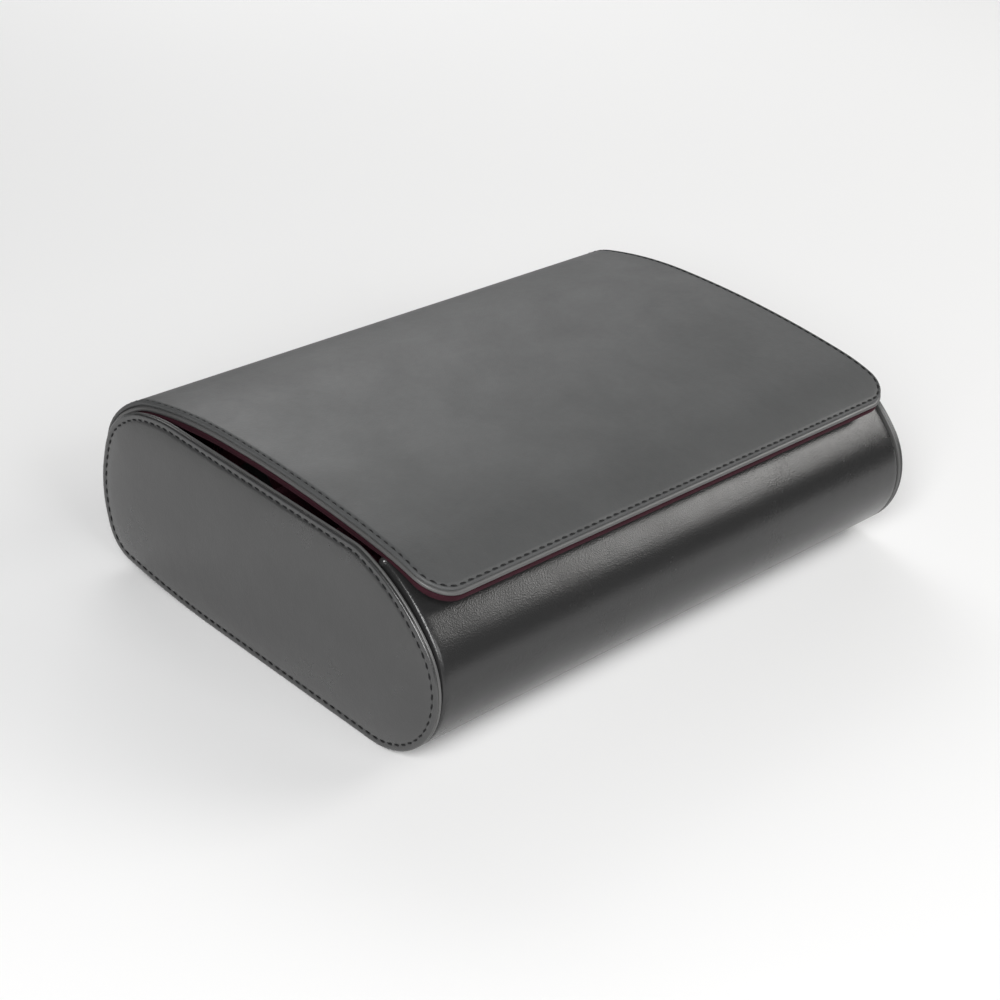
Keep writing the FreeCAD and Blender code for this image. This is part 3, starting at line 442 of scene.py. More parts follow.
_t.bump(_t.noise(0.00025, 2.0, stretch=(3.0, 1.0, 1.0)), 0.00008, 0.9)
THREAD = _t.done()
_t = Mat("burgundy_thread", (0.05, 0.014, 0.022), 0.6, Specular_IOR_Level=0.3)
_t.color(_t.tint(_t.noise(0.0004, 2.0), (0.035, 0.009, 0.015), (0.075, 0.02, 0.03)))
_t.bump(_t.noise(0.00025, 2.0, stretch=(3.0, 1.0, 1.0)), 0.00008, 0.9)
BURG_THREAD = _t.done()
# painted shade: this suede is coloured darker than the cushions' suede, standing in for the shade the flap lining's
# rolled edge lies in; every piece made of it takes that darker tone
SUEDE = suede("burgundy_suede_painted_shade", (0.028, 0.0064, 0.0108), sheen=0.09)
CUSHION_SUEDE = suede("cushion_suede", (0.040, 0.0088, 0.0148), nap=0.26, sheen=0.12)

# ------------------------------------------------------------ outer leather


def chain_map(chain, d0=0.0):
    def f(u, v, depth):
        (y, z), a = chain.at(v, d0 + depth)
        return (u, y, z)
    return f


def smooth(t):
    t = min(1.0, max(0.0, t))
    return t * t * (3 - 2 * t)


ring_s = OUT.samples(0.0, OUT.length, 3.0)[:-1]


# the end panels are cut a little smaller than the wrap round the top of the back, where the flap passes outside them
_s1 = np.arange(0.0, OUT.length, 1.0)
_e1 = np.interp(_s1, [86, 98, 106, 111, 116, 121, 126, 134, 143, 155, 172], [0, 1.0, 2.1, 2.7, 3.0, 2.6, 1.7, 0.1, -1.1, -0.7, 0.0])
_k1 = np.hanning(13)
_e1 = np.convolve(_e1, _k1 / _k1.sum(), mode="same")


def cut_in(s):
    return float(np.interp(s, _s1, _e1))


def out_ring(inset):
    return np.array([OUT.at(s, inset + cut_in(s))[0] for s in ring_s])


def puff(d):
    """The face stands up from its seam, fast at first and then gently."""
    return -2.3 * (1 - math.exp(-max(0.0, d - 3.2) / 10.0))


for side, sg in (("left", -1), ("right", 1)):
    def outer_map(u, v, depth, sg=sg):
        return (sg * (CASE - depth), u, v)

    def inner_map(u, v, depth, sg=sg):
        return (sg * (CASE - PLY - depth), u, v)

    prof = [(9.0, puff(9.0)), (7.0, puff(7.0)), (5.4, puff(5.4)), (4.4, puff(4.4)), (3.7, puff(3.7)), (3.2, 0.06), (2.85, 0.2), (2.6, 0.26), (2.35, 0.2), (2.0, 0.05),
            (1.5, -0.02), (1.0, 0.0), (0.55, 0.07), (0.22, 0.24), (0.04, 0.46), (0.0, 0.68), (0.05, 0.92), (0.22, 1.16), (0.5, 1.34), (0.95, 1.4), (6.0, 1.4)]
    p = slab(side + "_end_panel_face", out_ring, prof, outer_map, PANEL_LEATHER, (5.0, 5.0),
             front=lambda u, v, d: puff(d) - puff(9.0) + 0.10 * math.sin(u / 17.0 + 1.3) * math.sin(v / 13.0) * smooth((d - 9) / 12))
    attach(p, "case"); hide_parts(side + "_end_panel_outer")
    prof = [(6.0, 0.0), (0.95, 0.0), (0.5, 0.06), (0.22, 0.24), (0.05, 0.48), (0.0, 0.72), (0.05, 0.95), (0.22, 1.18), (0.5, 1.34), (0.95, 1.4), (6.0, 1.4)]
    p = slab(side + "_end_panel_lining_ply", out_ring, prof, inner_map, EDGE_PAINT, (9.0, 9.0))
    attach(p, "case"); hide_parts(side + "_end_panel_inner")
    line = [OUT.at(s, 2.6 + cut_in(s))[0] for s in OUT.samples(0.0, OUT.length, 2.0)]
    p = stitches(side + "_panel_stitches", line, outer_map, lambda u, v, sg=sg: (sg, 0, 0), THREAD, depth0=0.20, slant=0.5, run=2.8, rad=0.36)
    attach(p, "case")


def taper(s):
    """How far the wrap's ends stand back from the end panels at a length on the outline."""
    (y, z), a = OUT.at(s, 0.0)
    return 2.9 * (z - 22.0) / 58.0 if y < -48 and z > 22.0 else 0.0


def loft(name, stations, section, place, material, sharp=42.0):
    """A closed piece through the same closed section at each station."""
    bm = bmesh.new()
    rings = [[bm.verts.new(place(q, a, b)) for a, b in section(q)] for q in stations]
    n = len(rings[0])
    for r0, r1 in zip(rings, rings[1:]):
        for i in range(n):
            j = (i + 1) % n
            bm.faces.new((r0[i], r0[j], r1[j], r1[i]))
    for q, ring in ((stations[0], rings[0]), (stations[-1], rings[-1])):
        sec = [Vector(p) for p in section(q)]
        tri = delaunay_2d_cdt(sec, [], [list(range(n))], 1, 1e-6)
        if len(tri[0]) == n:
            back = {i: o[0] for i, o in enumerate(tri[3])}
            for f in tri[2]:
                bm.faces.new([ring[back[i]] for i in f])
        else:
            bm.faces.new(ring)
    bmesh.ops.recalc_face_normals(bm, faces=bm.faces)
    return new_object(name, bm, material, sharp)


FOLD = [(1.5, 1.5), (1.42, 4.9), (1.1, 5.3), (0.35, 5.25), (0.0, 4.9), (-0.02, 1.9), (0.12, 1.15), (0.5, 0.5), (1.05, 0.12), (1.8, 0.0)]


def wrap_section(s):
    h = WRAP - taper(s) + 0.04
    right = [(h - i, d) for i, d in FOLD]
    xs = np.linspace(h - 4.0, -(h - 4.0), 37)
    left = [(-(h - i), d) for i, d in reversed(FOLD)]
    return right + [(x, 0.0) for x in xs] + left + [(x, 1.5) for x in xs[::-1]]


w0, w1 = SHOULDER, OUT.length + HINGE


def on_out(s, x, d):
    (y, z), a = OUT.at(s, d)
    return (x, y, z)


p = loft("case_wrap_leather", OUT.samples(w0 + 1.5, w1 - FLEX, 3.0), wrap_section, on_out, WRAP_LEATHER, 50.0)
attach(p, "case"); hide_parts("wrap_leather")


# the bound top edge of the front wall, a rounded roll with ball-like ends
def roll_section(x):
    h = WRAP - taper(SHOULDER) - 0.1
    r = 1.7
    e = max(0.0, abs(x) - (h - r))
    k = r - math.sqrt(max(0.0, r * r - e * e))
    lo_s, hi_s, lo_d, hi_d = -0.55 + k, 2.3, -0.16 + k, 5.45 - k
    c = 1.55
    pts = []
    for cs, cd, a0 in ((lo_s + c, lo_d + c, 180), (lo_s + c, hi_d - c, 90)):
        for q in range(0, 91, 15):
            t = math.radians(a0 + 90 - q)
            pts.append((cs + c * math.cos(t), cd + c * math.sin(t)))
    return [(hi_s, lo_d)] + [(a, b) for a, b in reversed(sorted(pts[:7], key=lambda p: -p[1]))] + pts[7:] + [(hi_s, hi_d)]


def roll_place(x, s, d):
    (y, z), a = OUT.at(SHOULDER + s, d)
    return (x, y, z)


h_top = WRAP - taper(SHOULDER) - 0.1
xs = [-(h_top - 1.7 * (1 - math.cos(math.radians(q)))) for q in range(0, 91, 10)]
xs = [-(h_top - 1.7) - 1.7 * math.cos(math.radians(q)) for q in (4, 15, 27, 39, 51, 63, 75, 87)] + list(np.linspace(-(h_top - 1.9), h_top - 1.9, 41)) + [(h_top - 1.7) + 1.7 * math.cos(math.radians(q)) for q in (87, 75, 63, 51, 39, 27, 15, 4)]
p = loft("front_wall_rolled_edge", xs, roll_section, roll_place, WRAP_LEATHER, 60.0)
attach(p, "case"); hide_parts("front_edge_binding")
bm = bmesh.new()
for e in (-1, 1):
    (cy, cz), a = OUT.at(SHOULDER + 0.4, 1.7)
    m = Matrix.Translation((e * (h_top - 1.0), cy, cz)) @ Matrix.Rotation(0.5, 4, "X") @ Matrix.Diagonal((2.1, 2.0, 2.3, 1.0))
    bmesh.ops.create_icosphere(bm, subdivisions=3, radius=1.0, matrix=m)
p = new_object("front_wall_corner_folds", bm, CORNER_LEATHER, 80.0)
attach(p, "case")

# ----------------------------------------------------------------- the flap


def flap_ring(s0, hw, length, corner):
    n_side, n_arc, n_front, n_near = 60, 16, 60, 40

    def ring(inset):
        r, rs = max(0.8, corner - inset), max(0.8, corner * 1.09 - inset)
        a, b = hw - inset, length - inset
        near = s0 + 0.02 * inset
        pts = [(x, near) for x in np.linspace(-a, a, n_near, endpoint=False)]
        pts += [(a, s) for s in np.linspace(near, b - rs, n_side, endpoint=False)]
        pts += [(a - r + r * math.cos(t), b - rs + rs * math.sin(t)) for t in np.linspace(0, math.pi / 2, n_arc, endpoint=False)]
        pts += [(x, b) for x in np.linspace(a - r, -(a - r), n_front, endpoint=False)]
        pts += [(-(a - r) - r * math.sin(t), b - rs + rs * math.cos(t)) for t in np.linspace(0, math.pi / 2, n_arc, endpoint=False)]
        pts += [(-a, s) for s in np.linspace(b - rs, near, n_side, endpoint=False)]
        return np.array(pts)
    return ring


FLAP_END = FLAP.length + 0.2


def swell(t):
    """How far the hide stands out round the hinge, where it bends; t is the length past the hinge, into the flap."""
    return 3.4 * (smooth((t + 10.0) / 13.0) if t < 3.0 else 1.0 - smooth((t - 3.0) / 32.0))


def flap_at(v, d=0.0):
    """A point at a length along the flap and a depth under its outer face; straight on past the end of the chain."""
    (y, z), h = FLAP.at(min(v, FLAP.length), d - swell(v))
    over = max(0.0, v - FLAP.length)
    return (y + over * math.cos(h), z + over * math.sin(h)), h


def side_share(v):
    """1 along the flap's sides, where its plies stand thick, and 0 at the hinge and at its front edge."""
    return smooth((v - 14.0) / 26.0) * smooth((FLAP_END - v - 3.0) / 26.0)


def ply_map(thick, a0, a1, b0, b1):
    """Depths 0 to thick lie between a and b under the flap's outer face: a0, b0 at its ends and a1, b1 along its sides."""
    def f(u, v, depth):
        k = side_share(v)
        a, b = a0 + (a1 - a0) * k, b0 + (b1 - b0) * k
        (y, z), h = flap_at(v, a + depth * (b - a) / thick)
        return (u, y, z)
    return f


top_map = ply_map(1.5, 0.0, 0.0, 1.5, 2.2)
prof = [(9.0, 0.0), (5.2, 0.0), (3.0, 0.0), (2.3, 0.04), (1.8, 0.26), (1.45, 0.40), (1.15, 0.24), (0.95, 0.04), (0.78, -0.04), (0.58, 0.0),
        (0.34, 0.11), (0.14, 0.32), (0.03, 0.56), (0.0, 0.78), (0.05, 1.02), (0.2, 1.26), (0.45, 1.43), (0.95, 1.5), (8.0, 1.5)]
p = slab("flap_top_leather", flap_ring(FLEX, FLAPW, FLAP_END, 13.0), prof, top_map, FLAP_LEATHER, (4.5, 3.0))
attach(p, "flap"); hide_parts("flap_leather")
prof = [(8.0, 0.0), (1.5, 0.0), (0.75, 0.06), (0.3, 0.27), (0.06, 0.6), (0.0, 0.95), (0.06, 1.3), (0.24, 1.6), (0.55, 1.82), (1.2, 1.9), (8.0, 1.9)]
p = slab("flap_second_ply", flap_ring(FLEX, FLAPW + 0.15, FLAP_END + 1.35, 13.6), prof, ply_map(1.9, 1.5, 2.2, 3.3, 4.4), EDGE_PAINT, (9.0, 4.0))
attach(p, "flap"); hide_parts("flap_backing")


def roll_share(v):
    """How much of the lining's side roll there is room for over the liners below."""
    z = flap_at(v, 5.8)[0][1]
    return smooth((z - 71.9) / 4.6)


def lining_map(u, v, depth):
    if depth < 0:
        top = 5.8 - depth * roll_share(v)
    else:
        back = 3.3 + 1.1 * side_share(v)
        top = 5.8 - depth * (5.8 - back) / 1.4
    (y, z), a = flap_at(v, top)
    return (u, y, z)


prof = [(20.0, 0.0), (14.0, 0.0), (12.2, 0.08), (11.3, 0.35), (10.8, 0.45), (10.4, 0.30), (9.9, -0.1), (9.0, -1.1), (7.6, -2.1), (5.8, -2.75), (4.0, -2.9), (2.4, -2.65), (1.2, -2.0), (0.4, -1.1), (0.05, -0.25),
        (0.0, 0.25), (0.1, 0.65), (0.4, 1.05), (1.0, 1.3), (2.0, 1.4), (10.0, 1.4)]
p = slab("flap_padded_lining", flap_ring(FLEX, FLAPW - 0.45, FLAP_END + 1.7, 13.0), prof, lining_map, SUEDE, (5.0, 4.0),
         front=lambda u, v, d: -0.22 * smooth((d - 20) / 30) + 0.10 * math.sin(u / 21.0) * math.sin(v / 17.0 + 0.7) * smooth((d - 20) / 20))
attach(p, "flap"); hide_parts("flap_lining")

# seams of the flap: outside all round, inside round the padded lining


def open_path(ring, inset, n_near, s_min):
    pts = ring(inset)[n_near:]
    return [q for q in pts if q[1] >= s_min - 1e-6]


def flap_up(u, v):
    a = flap_at(v)[1]
    return (0.0, math.sin(a), -math.cos(a))


fr = flap_ring(FLEX, FLAPW, FLAP_END, 13.0)
p = stitches("flap_edge_stitches", open_path(fr, 1.4, 40, FLEX), top_map, flap_up, THREAD, depth0=0.22, slant=0.5, run=2.6, rad=0.40)
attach(p, "flap")
fr = flap_ring(FLEX, FLAPW - 0.45, FLAP_END + 1.7, 13.0)
p = stitches("flap_lining_stitches", open_path(fr, 10.8, 40, FLEX + 2), lining_map, lambda u, v: tuple(-c for c in flap_up(u, v)), BURG_THREAD, depth0=0.34, pitch=3.4, run=2.7, rad=0.28, sink=0.25)
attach(p, "flap")

# ---------------------------------------------------------- the living hinge


def hinge_point(q, d):
    """q runs from -FLEX on the case to +FLEX on the flap."""
    return OUT.at(HINGE + q, d - swell(q)) if q <= 0 else FLAP.at(q, d - swell(q))


def strip_section(d0, d1, half):
    r = min(0.5, (d1 - d0) * 0.4)
    m = 0.5 * (d0 + d1)
    edge = [(0.9, d1), (0.35, d1 - r * 0.35), (0.06, m + 0.3 * (d1 - d0) / 2), (0.0, m), (0.06, m - 0.3 * (d1 - d0) / 2), (0.35, d0 + r * 0.35), (0.9, d0)]
    xs = np.linspace(half - 4.0, -(half - 4.0), 31)
    sec = [(half - i, d) for i, d in edge] + [(x, d0) for x in xs] + [(-(half - i), d) for i, d in reversed(edge)] + [(x, d1) for x in xs[::-1]]
    return lambda q: sec


def hinge_place(q, x, d):
    (y, z), a = hinge_point(q, d)
    return (x, y, z)


st = list(np.linspace(-FLEX, FLEX, 33))
p = loft("hinge_back_leather", st, strip_section(0.0, 1.5, FLAPW), hinge_place, WRAP_LEATHER, 50.0)
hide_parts("hinge_leather"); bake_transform(p)
p = loft("hinge_inner_lining", st, strip_section(4.5, 5.3, FLAPW), hinge_place, SUEDE, 50.0)
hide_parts("hinge_lining"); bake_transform(p)

# ------------------------------------------------------- inside: upholstery
nodes = frame["nodes"]
OUT_FINE = OUT.samples(0.0, OUT.length, 2.0)[:-1]


def clip(poly, a, b, c):
    """The part of a polygon where a*y + b*z <= c."""
    out = []
    n = len(poly)
    for i in range(n):
        p, q = poly[i], poly[(i + 1) % n]
        dp, dq = a * p[0] + b * p[1] - c, a * q[0] + b * q[1] - c
        if dp <= 0:
            out.append(p)
        if (dp < 0 < dq) or (dq < 0 < dp):
            t = dp / (dp - dq)
            out.append((p[0] + (q[0] - p[0]) * t, p[1] + (q[1] - p[1]) * t))
    return out


def convex(planes, radius, depth=None, box=None, gap=6.0):
    """outline(inset) of a convex shape with rounded corners: the case's outline at a depth, or a box, cut by planes (a, b, c)."""
    theta = np.linspace(0, 2 * math.pi, 121)[:-1] + 0.013

    def raw(inset):
        r = max(0.35, radius - inset)
        e = inset + r
        if depth is not None:
            poly = [OUT.at(s, depth + e)[0] for s in OUT_FINE]
        else:
            (x0, x1), (y0, y1) = box
            poly = [(x0 + e, y0 + e), (x1 - e, y0 + e), (x1 - e, y1 - e), (x0 + e, y1 - e)]
        for a, b, c in planes:
            poly = clip(poly, a, b, c - e * math.hypot(a, b))
        v = np.array(poly)
        d = np.stack([np.cos(theta), np.sin(theta)], -1)
        k = (v @ d.T).argmax(0)
        return v[k] + d * r

    base = raw(0.0)
    cnt = [max(1, int(math.ceil(np.linalg.norm(base[(i + 1) % len(base)] - base[i]) / gap))) for i in range(len(base))]

    def outline(inset):
        p = raw(inset)
        out = []
        for i, n in enumerate(cnt):
            q = p[(i + 1) % len(p)]
            out += [p[i] + (q - p[i]) * (j / n) for j in range(n)]
        return np.array(out)
    return outline


def block(name, outline, w0_, w1_, mapping, material, soft=1.6, wave=0.12, step=(7.0, 7.0), station=11.0):
    """An upholstered block: the outline carried from w0_ to w1_ with soft edges and slightly uneven faces."""
    L = w1_ - w0_
    n = max(1, int((L - 2 * soft) / station))
    arc = [(soft * (1 - math.sin(t)), soft * (1 - math.cos(t))) for t in np.radians([0, 18, 36, 54, 72, 90])]
    prof = [(soft + 3.0, 0.0)] + arc
    for j in range(1, n):
        x = soft + (L - 2 * soft) * j / n
        prof.append((wave * 0.5 * (1 + math.sin(x / 9.0 + len(name))), x))
    prof += [(i, L - d) for i, d in reversed(arc)] + [(soft + 3.0, L)]
    return slab(name, outline, prof, lambda u, v, d: mapping(u, v, w0_ + d), material, step, sharp=60.0)


def yz(u, v, w):
    return (w, u, v)


def xz(u, v, w):
    return (u, w, v)


def lined(s):
    return [(134.8 - i, d) for i, d in ((0.3, 5.3), (0.0, 5.1), (0.0, 4.7), (0.3, 4.5))] + [(x, 4.5) for x in np.linspace(130, -130, 27)] + \
        [(-(134.8 - i), d) for i, d in ((0.3, 4.5), (0.0, 4.7), (0.0, 5.1), (0.3, 5.3))] + \
        [(x, 5.3 + 0.12 * math.sin(x / 14.0 + s / 9.0) * math.sin(s / 11.0)) for x in np.linspace(-130, 130, 27)]


s_lin = OUT.samples(w0 + 2.4, w1 - FLEX, 4.0)
p = loft("case_lining", s_lin, lined, on_out, SUEDE, 50.0)
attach(p, "case"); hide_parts("wrap_lining")

p = block("front_bolster_cover", convex([(1, 0, -57.2), (0, 1, 69.0)], 2.6, depth=5.5), -134.6, 134.6, yz, SUEDE, 1.8, 0.22)
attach(p, "case"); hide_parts("front_bolster")
p = block("rear_bolster_cover", convex([(-1, 0, -82.4), (0, 1, 68.4)], 2.4, depth=5.5), -134.6, 134.6, yz, SUEDE, 1.8, 0.22)
q = block("rear_bolster_centre", convex([], 2.0, box=((70.4, 84.0), (9.6, 68.4))), -28.9, 28.9, yz, SUEDE, 1.6, 0.2)
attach(p, "case"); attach(q, "case"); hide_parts("rear_bolster"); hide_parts("rear_bolster")
side_shape = convex([(-1, 0, 56.9), (1, 0, 82.2), (0, 1, 71.1)], 2.2, depth=5.5)
for side, a in (("left", -134.75), ("right", 131.55)):
    p = block(side + "_side_liner_cover", side_shape, a, a + 3.2, yz, SUEDE, 1.45, 0.0, (7.0, 7.0))
    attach(p, "case"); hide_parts(side + "_side_liner")


def floor_section(s):
    return [(131.2 - i, d) for i, d in ((0.6, 7.35), (0.1, 6.9), (0.0, 6.4), (0.1, 5.9), (0.6, 5.45))] + [(x, 5.45) for x in np.linspace(128, -128, 17)] + \
        [(-(131.2 - i), d) for i, d in ((0.6, 5.45), (0.1, 5.9), (0.0, 6.4), (0.1, 6.9), (0.6, 7.35))] + [(x, 7.4 + 0.08 * math.sin(x / 13.0) * math.sin(s / 12.0)) for x in np.linspace(-128, 128, 17)]


s_a = OUT.find(OUT.seg[8]["s"], OUT.length, lambda y, z: y + 56.6)
s_b = OUT.find(0.0, OUT.seg[4]["s"], lambda y, z: y - 79.5) if False else None
floor_s = [q for q in OUT.samples(s_a, OUT.length + 75.0, 4.0)]
floor_s = [q for q in floor_s if OUT.at(q, 7.4)[0][0] < 79.0]
p = loft("tray_floor_cover", floor_s, floor_section, on_out, SUEDE, 50.0)
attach(p, "case"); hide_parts("tray_floor")

for k, (a, b) in enumerate(((-131.2, -29.4), (29.4, 131.2))):
    p = block("cross_divider_%s" % ("left", "right")[k], convex([], 2.0, box=((a, b), (7.6, 66.0))), 6.05, 9.45, xz, SUEDE, 1.5, 0.0)
    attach(p, "case"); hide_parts("cross_dividers")
for k, a in enumerate((-81.8, 78.8)):
    p = block("bay_divider_%s" % ("left", "right")[k], convex([], 2.0, box=((-56.6, 5.75), (7.6, 62.0))), a + 0.03, a + 2.97, yz, SUEDE, 1.35, 0.0)
    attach(p, "case"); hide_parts("bay_dividers")

# ----------------------------------------------- inside: stuffed cushions


def evaluated_mesh(o):
    dg = bpy.context.evaluated_depsgraph_get()
    return bpy.data.meshes.new_from_object(o.evaluated_get(dg))


def stuffed(name, source, centres, half, wide, high, rnd, cap, body, keep_bore, floor_z=None):
    """A stuffed suede cushion from the CAD's plain shape: remeshed, blown up by cloth simulation against its seams, then softened."""
    src = nodes[source]
    me = src.data.copy()
    me.materials.clear()
    o = bpy.data.objects.new(name, me)
    scene.collection.objects.link(o)
    rm = o.modifiers.new("remesh", "REMESH")
    rm.mode = "VOXEL"
    rm.voxel_size = 0.0028
    m2 = evaluated_mesh(o)
    o.modifiers.clear()
    o.data = m2
    rest = np.array([v.co[:] for v in o.data.vertices]) / MM
    near = np.zeros(len(rest))
    loc = np.zeros_like(rest)
    which = np.zeros(len(rest), int)
    for i, c in enumerate(centres):
        d = rest - np.array(c)
        mine = np.abs(d[:, 0]) < half + 3
        loc[mine] = d[mine]
        which[mine] = i
    ay, az_ = np.maximum(np.abs(loc[:, 1]) - (wide / 2 - rnd), 0), np.maximum(np.abs(loc[:, 2]) - (high / 2 - rnd), 0)
    rim = np.abs(np.where((ay > 0) | (az_ > 0), np.hypot(ay, az_) - rnd, -99.0))
    flat_in = np.where((ay <= 0) & (az_ <= 0), 99.0, rim)
    seam = np.hypot(np.abs(loc[:, 0]) - (half - 1.3), flat_in - 0.0)
    hole = np.hypot(loc[:, 1], loc[:, 2])
    pinned = seam < 2.6
    if keep_bore:
        pinned |= hole < 13.0
    pos = rest.copy()
    vg = o.vertex_groups.new(name="pins")
    vg.add([int(i) for i in np.nonzero(pinned)[0]], 1.0, "REPLACE")
    cm = o.modifiers.new("cloth", "CLOTH")
    st_ = cm.settings
    st_.quality = 6
    st_.mass = 0.15
    st_.tension_stiffness = st_.compression_stiffness = 12.0
    st_.shear_stiffness = 4.0
    st_.bending_stiffness = 0.05
    st_.use_pressure = True
    st_.uniform_pressure_force = 4.0
    st_.effector_weights.gravity = 0.0
    st_.vertex_group_mass = "pins"
    for fr_ in range(1, 21):
        scene.frame_set(fr_)
    m3 = evaluated_mesh(o)
    sim = np.array([v.co[:] for v in m3.vertices]) / MM
    move = sim - rest
    ln = np.linalg.norm(move, axis=1)
    big = float(ln.max())
    k = cap / max(big, cap)
    pos = rest + move * np.minimum(1.0, k * 1.0)[None].T if np.ndim(k) else rest + move * k
    o.modifiers.clear()
    o.vertex_groups.clear()
    bpy.data.meshes.remove(m3)
    scene.frame_set(1)
    print("cloth", name, "largest move %.2f mm, kept %.2f" % (big, k))
    # gathers that run in from the seams, and a hand-stuffed unevenness
    nrm = np.array([v.normal[:] for v in o.data.vertices])
    around = np.arctan2(loc[:, 2], loc[:, 1])
    din = np.abs(half - np.abs(loc[:, 0]))
    gather = 0.30 * np.abs(np.sin(around * 13 + 1.7 * np.sin(around * 3 + which) + which)) ** 1.5 * np.exp(-((din - 5.0) / 5.0) ** 2)
    lump = 0.35 * np.sin(loc[:, 0] / 9.0 + which * 1.3) * np.sin(around * 2.0 + 0.6) + 0.2 * np.sin(loc[:, 0] / 5.0 + around * 4)
    quiet = np.where(pinned, 0.0, 1.0)[:, None]
    pos = pos + nrm * ((lump - gather)[:, None]) * quiet
    if floor_z is not None:
        low = pos[:, 2] < floor_z
        pos[low, 2] = floor_z
    o.data.vertices.foreach_set("co", (pos * MM).ravel())
    o.data.update()
    sm = o.modifiers.new("soften", "SMOOTH")
    sm.factor, sm.iterations = 0.4, 2
    sd = o.modifiers.new("round", "SUBSURF")
    sd.levels = sd.render_levels = 1
    m4 = evaluated_mesh(o)
    o.modifiers.clear()
    o.data = m4
    o.data.materials.append(CUSHION_SUEDE)
    for f_ in o.data.polygons:
        f_.use_smooth = True
    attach(o, body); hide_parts(source)
    # piping along both end seams
    bm = bmesh.new()
    th = np.linspace(0, 2 * math.pi, 97)[:-1]
    d = np.stack([np.cos(th), np.sin(th)], -1)
    for c in centres:
        for e in (-1, 1):
            v = np.array([(sy * (wide / 2 - rnd), sz * (high / 2 - rnd)) for sy in (-1, 1) for sz in (-1, 1)])
            w_ = v[(v @ d.T).argmax(0)] + d * (rnd - 0.9)
            pts, out_ = [], []
            for i in range(len(w_)):
                q2 = w_[(i + 1) % len(w_)]
                n2 = max(1, int(np.linalg.norm(q2 - w_[i]) / 2.2))
                for j in range(n2):
                    yy, zz = w_[i] + (q2 - w_[i]) * j / n2
                    pts.append((c[0] + e * (half - 0.9), c[1] + yy, c[2] + zz))
            ring_tube(bm, pts, 1.05, (e, 0, 0), 10)
    bmesh.ops.recalc_face_normals(bm, faces=bm.faces)
    q_ = new_object(name + "_piping", bm, CUSHION_SUEDE, 60.0)
    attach(q_, body)
    return o


def ring_tube(bm, path, rad, normal, sides=8):
    """A closed round tube along a closed path."""
    P = [Vector(p) for p in path]
    m = len(P)
    rings = []
    for i in range(m):
        t = (P[(i + 1) % m] - P[i - 1]).normalized()
        n = Vector(normal)
        n = (n - t * n.dot(t)).normalized()
        b = t.cross(n)
        rings.append([bm.verts.new(P[i] + (n * math.cos(q) + b * math.sin(q)) * rad) for q in (2 * math.pi * k / sides for k in range(sides))])
    for i in range(m):
        a, b = rings[i], rings[(i + 1) % m]
        for k in range(sides):
            j = (k + 1) % sides
            bm.faces.new((a[k], a[j], b[j], b[k]))


for side, sg in (("left", -1), ("right", 1)):
    stuffed(side + "_watch_cushion", side + "_cushion", [(sg * 71.0, 46.0, 41.0)], 33.0, 54.0, 46.0, 18.0, 2.4, "rotors", True)
    stuffed(side + "_storage_cushions", side + "_storage_pillows", [(sg * 54.0, -25.5, 30.0), (sg * 106.6, -25.5, 30.0)], 22.0, 52.0, 44.0, 16.0, 2.0, "case", False, 7.5)

# --------------------------------------------- inside: hard CAD pieces' looks
HARD = {
    # painted shade: the board is coloured near-black so its edge in the gap between the end panels and the front wall
    # reads as the shade in that gap
    "board": plastic("near_black_board_painted_shade", (0.009, 0.009, 0.0092), 0.8, 0.0011, 0.00005),
    "black_plastic": plastic("black_abs", (0.018, 0.018, 0.019), 0.42, 0.00055, 0.00005),
    "gloss_black_plastic": plastic("gloss_black", (0.012, 0.012, 0.013), 0.12, 0.004, 0.000004),
    "white_plastic": plastic("white_acetal", (0.62, 0.61, 0.57), 0.4, 0.0008, 0.00002),
    "board_green": plastic("circuit_board_green", (0.012, 0.10, 0.035), 0.35, 0.0014, 0.00003),
    "belt_rubber": plastic("belt_rubber", (0.02, 0.02, 0.02), 0.7, 0.0004, 0.00003),
    "cell_jacket": plastic("cell_jacket", (0.03, 0.05, 0.14), 0.3, 0.003, 0.000004),
    "lens": plastic("green_lens", (0.10, 0.42, 0.10), 0.08, 0.004, 0.000004),
    "steel": metal("brushed_steel", (0.55, 0.55, 0.56), 0.32),
    "nickel": metal("nickel_plate", (0.62, 0.60, 0.57), 0.18, (1.0, 12.0, 12.0), 0.000004),
    "bronze": metal("sintered_bronze", (0.50, 0.32, 0.13), 0.38, (1.0, 1.0, 1.0)),
    "knob_metal": metal("turned_aluminium", (0.60, 0.60, 0.61), 0.26, (30.0, 30.0, 1.0), 0.000006),
    "lined_wood": SUEDE,
    "suede": SUEDE,
    "cushion_suede": CUSHION_SUEDE,
    "grey_leather": WRAP_LEATHER,
    "leather_edge": EDGE_PAINT,
}


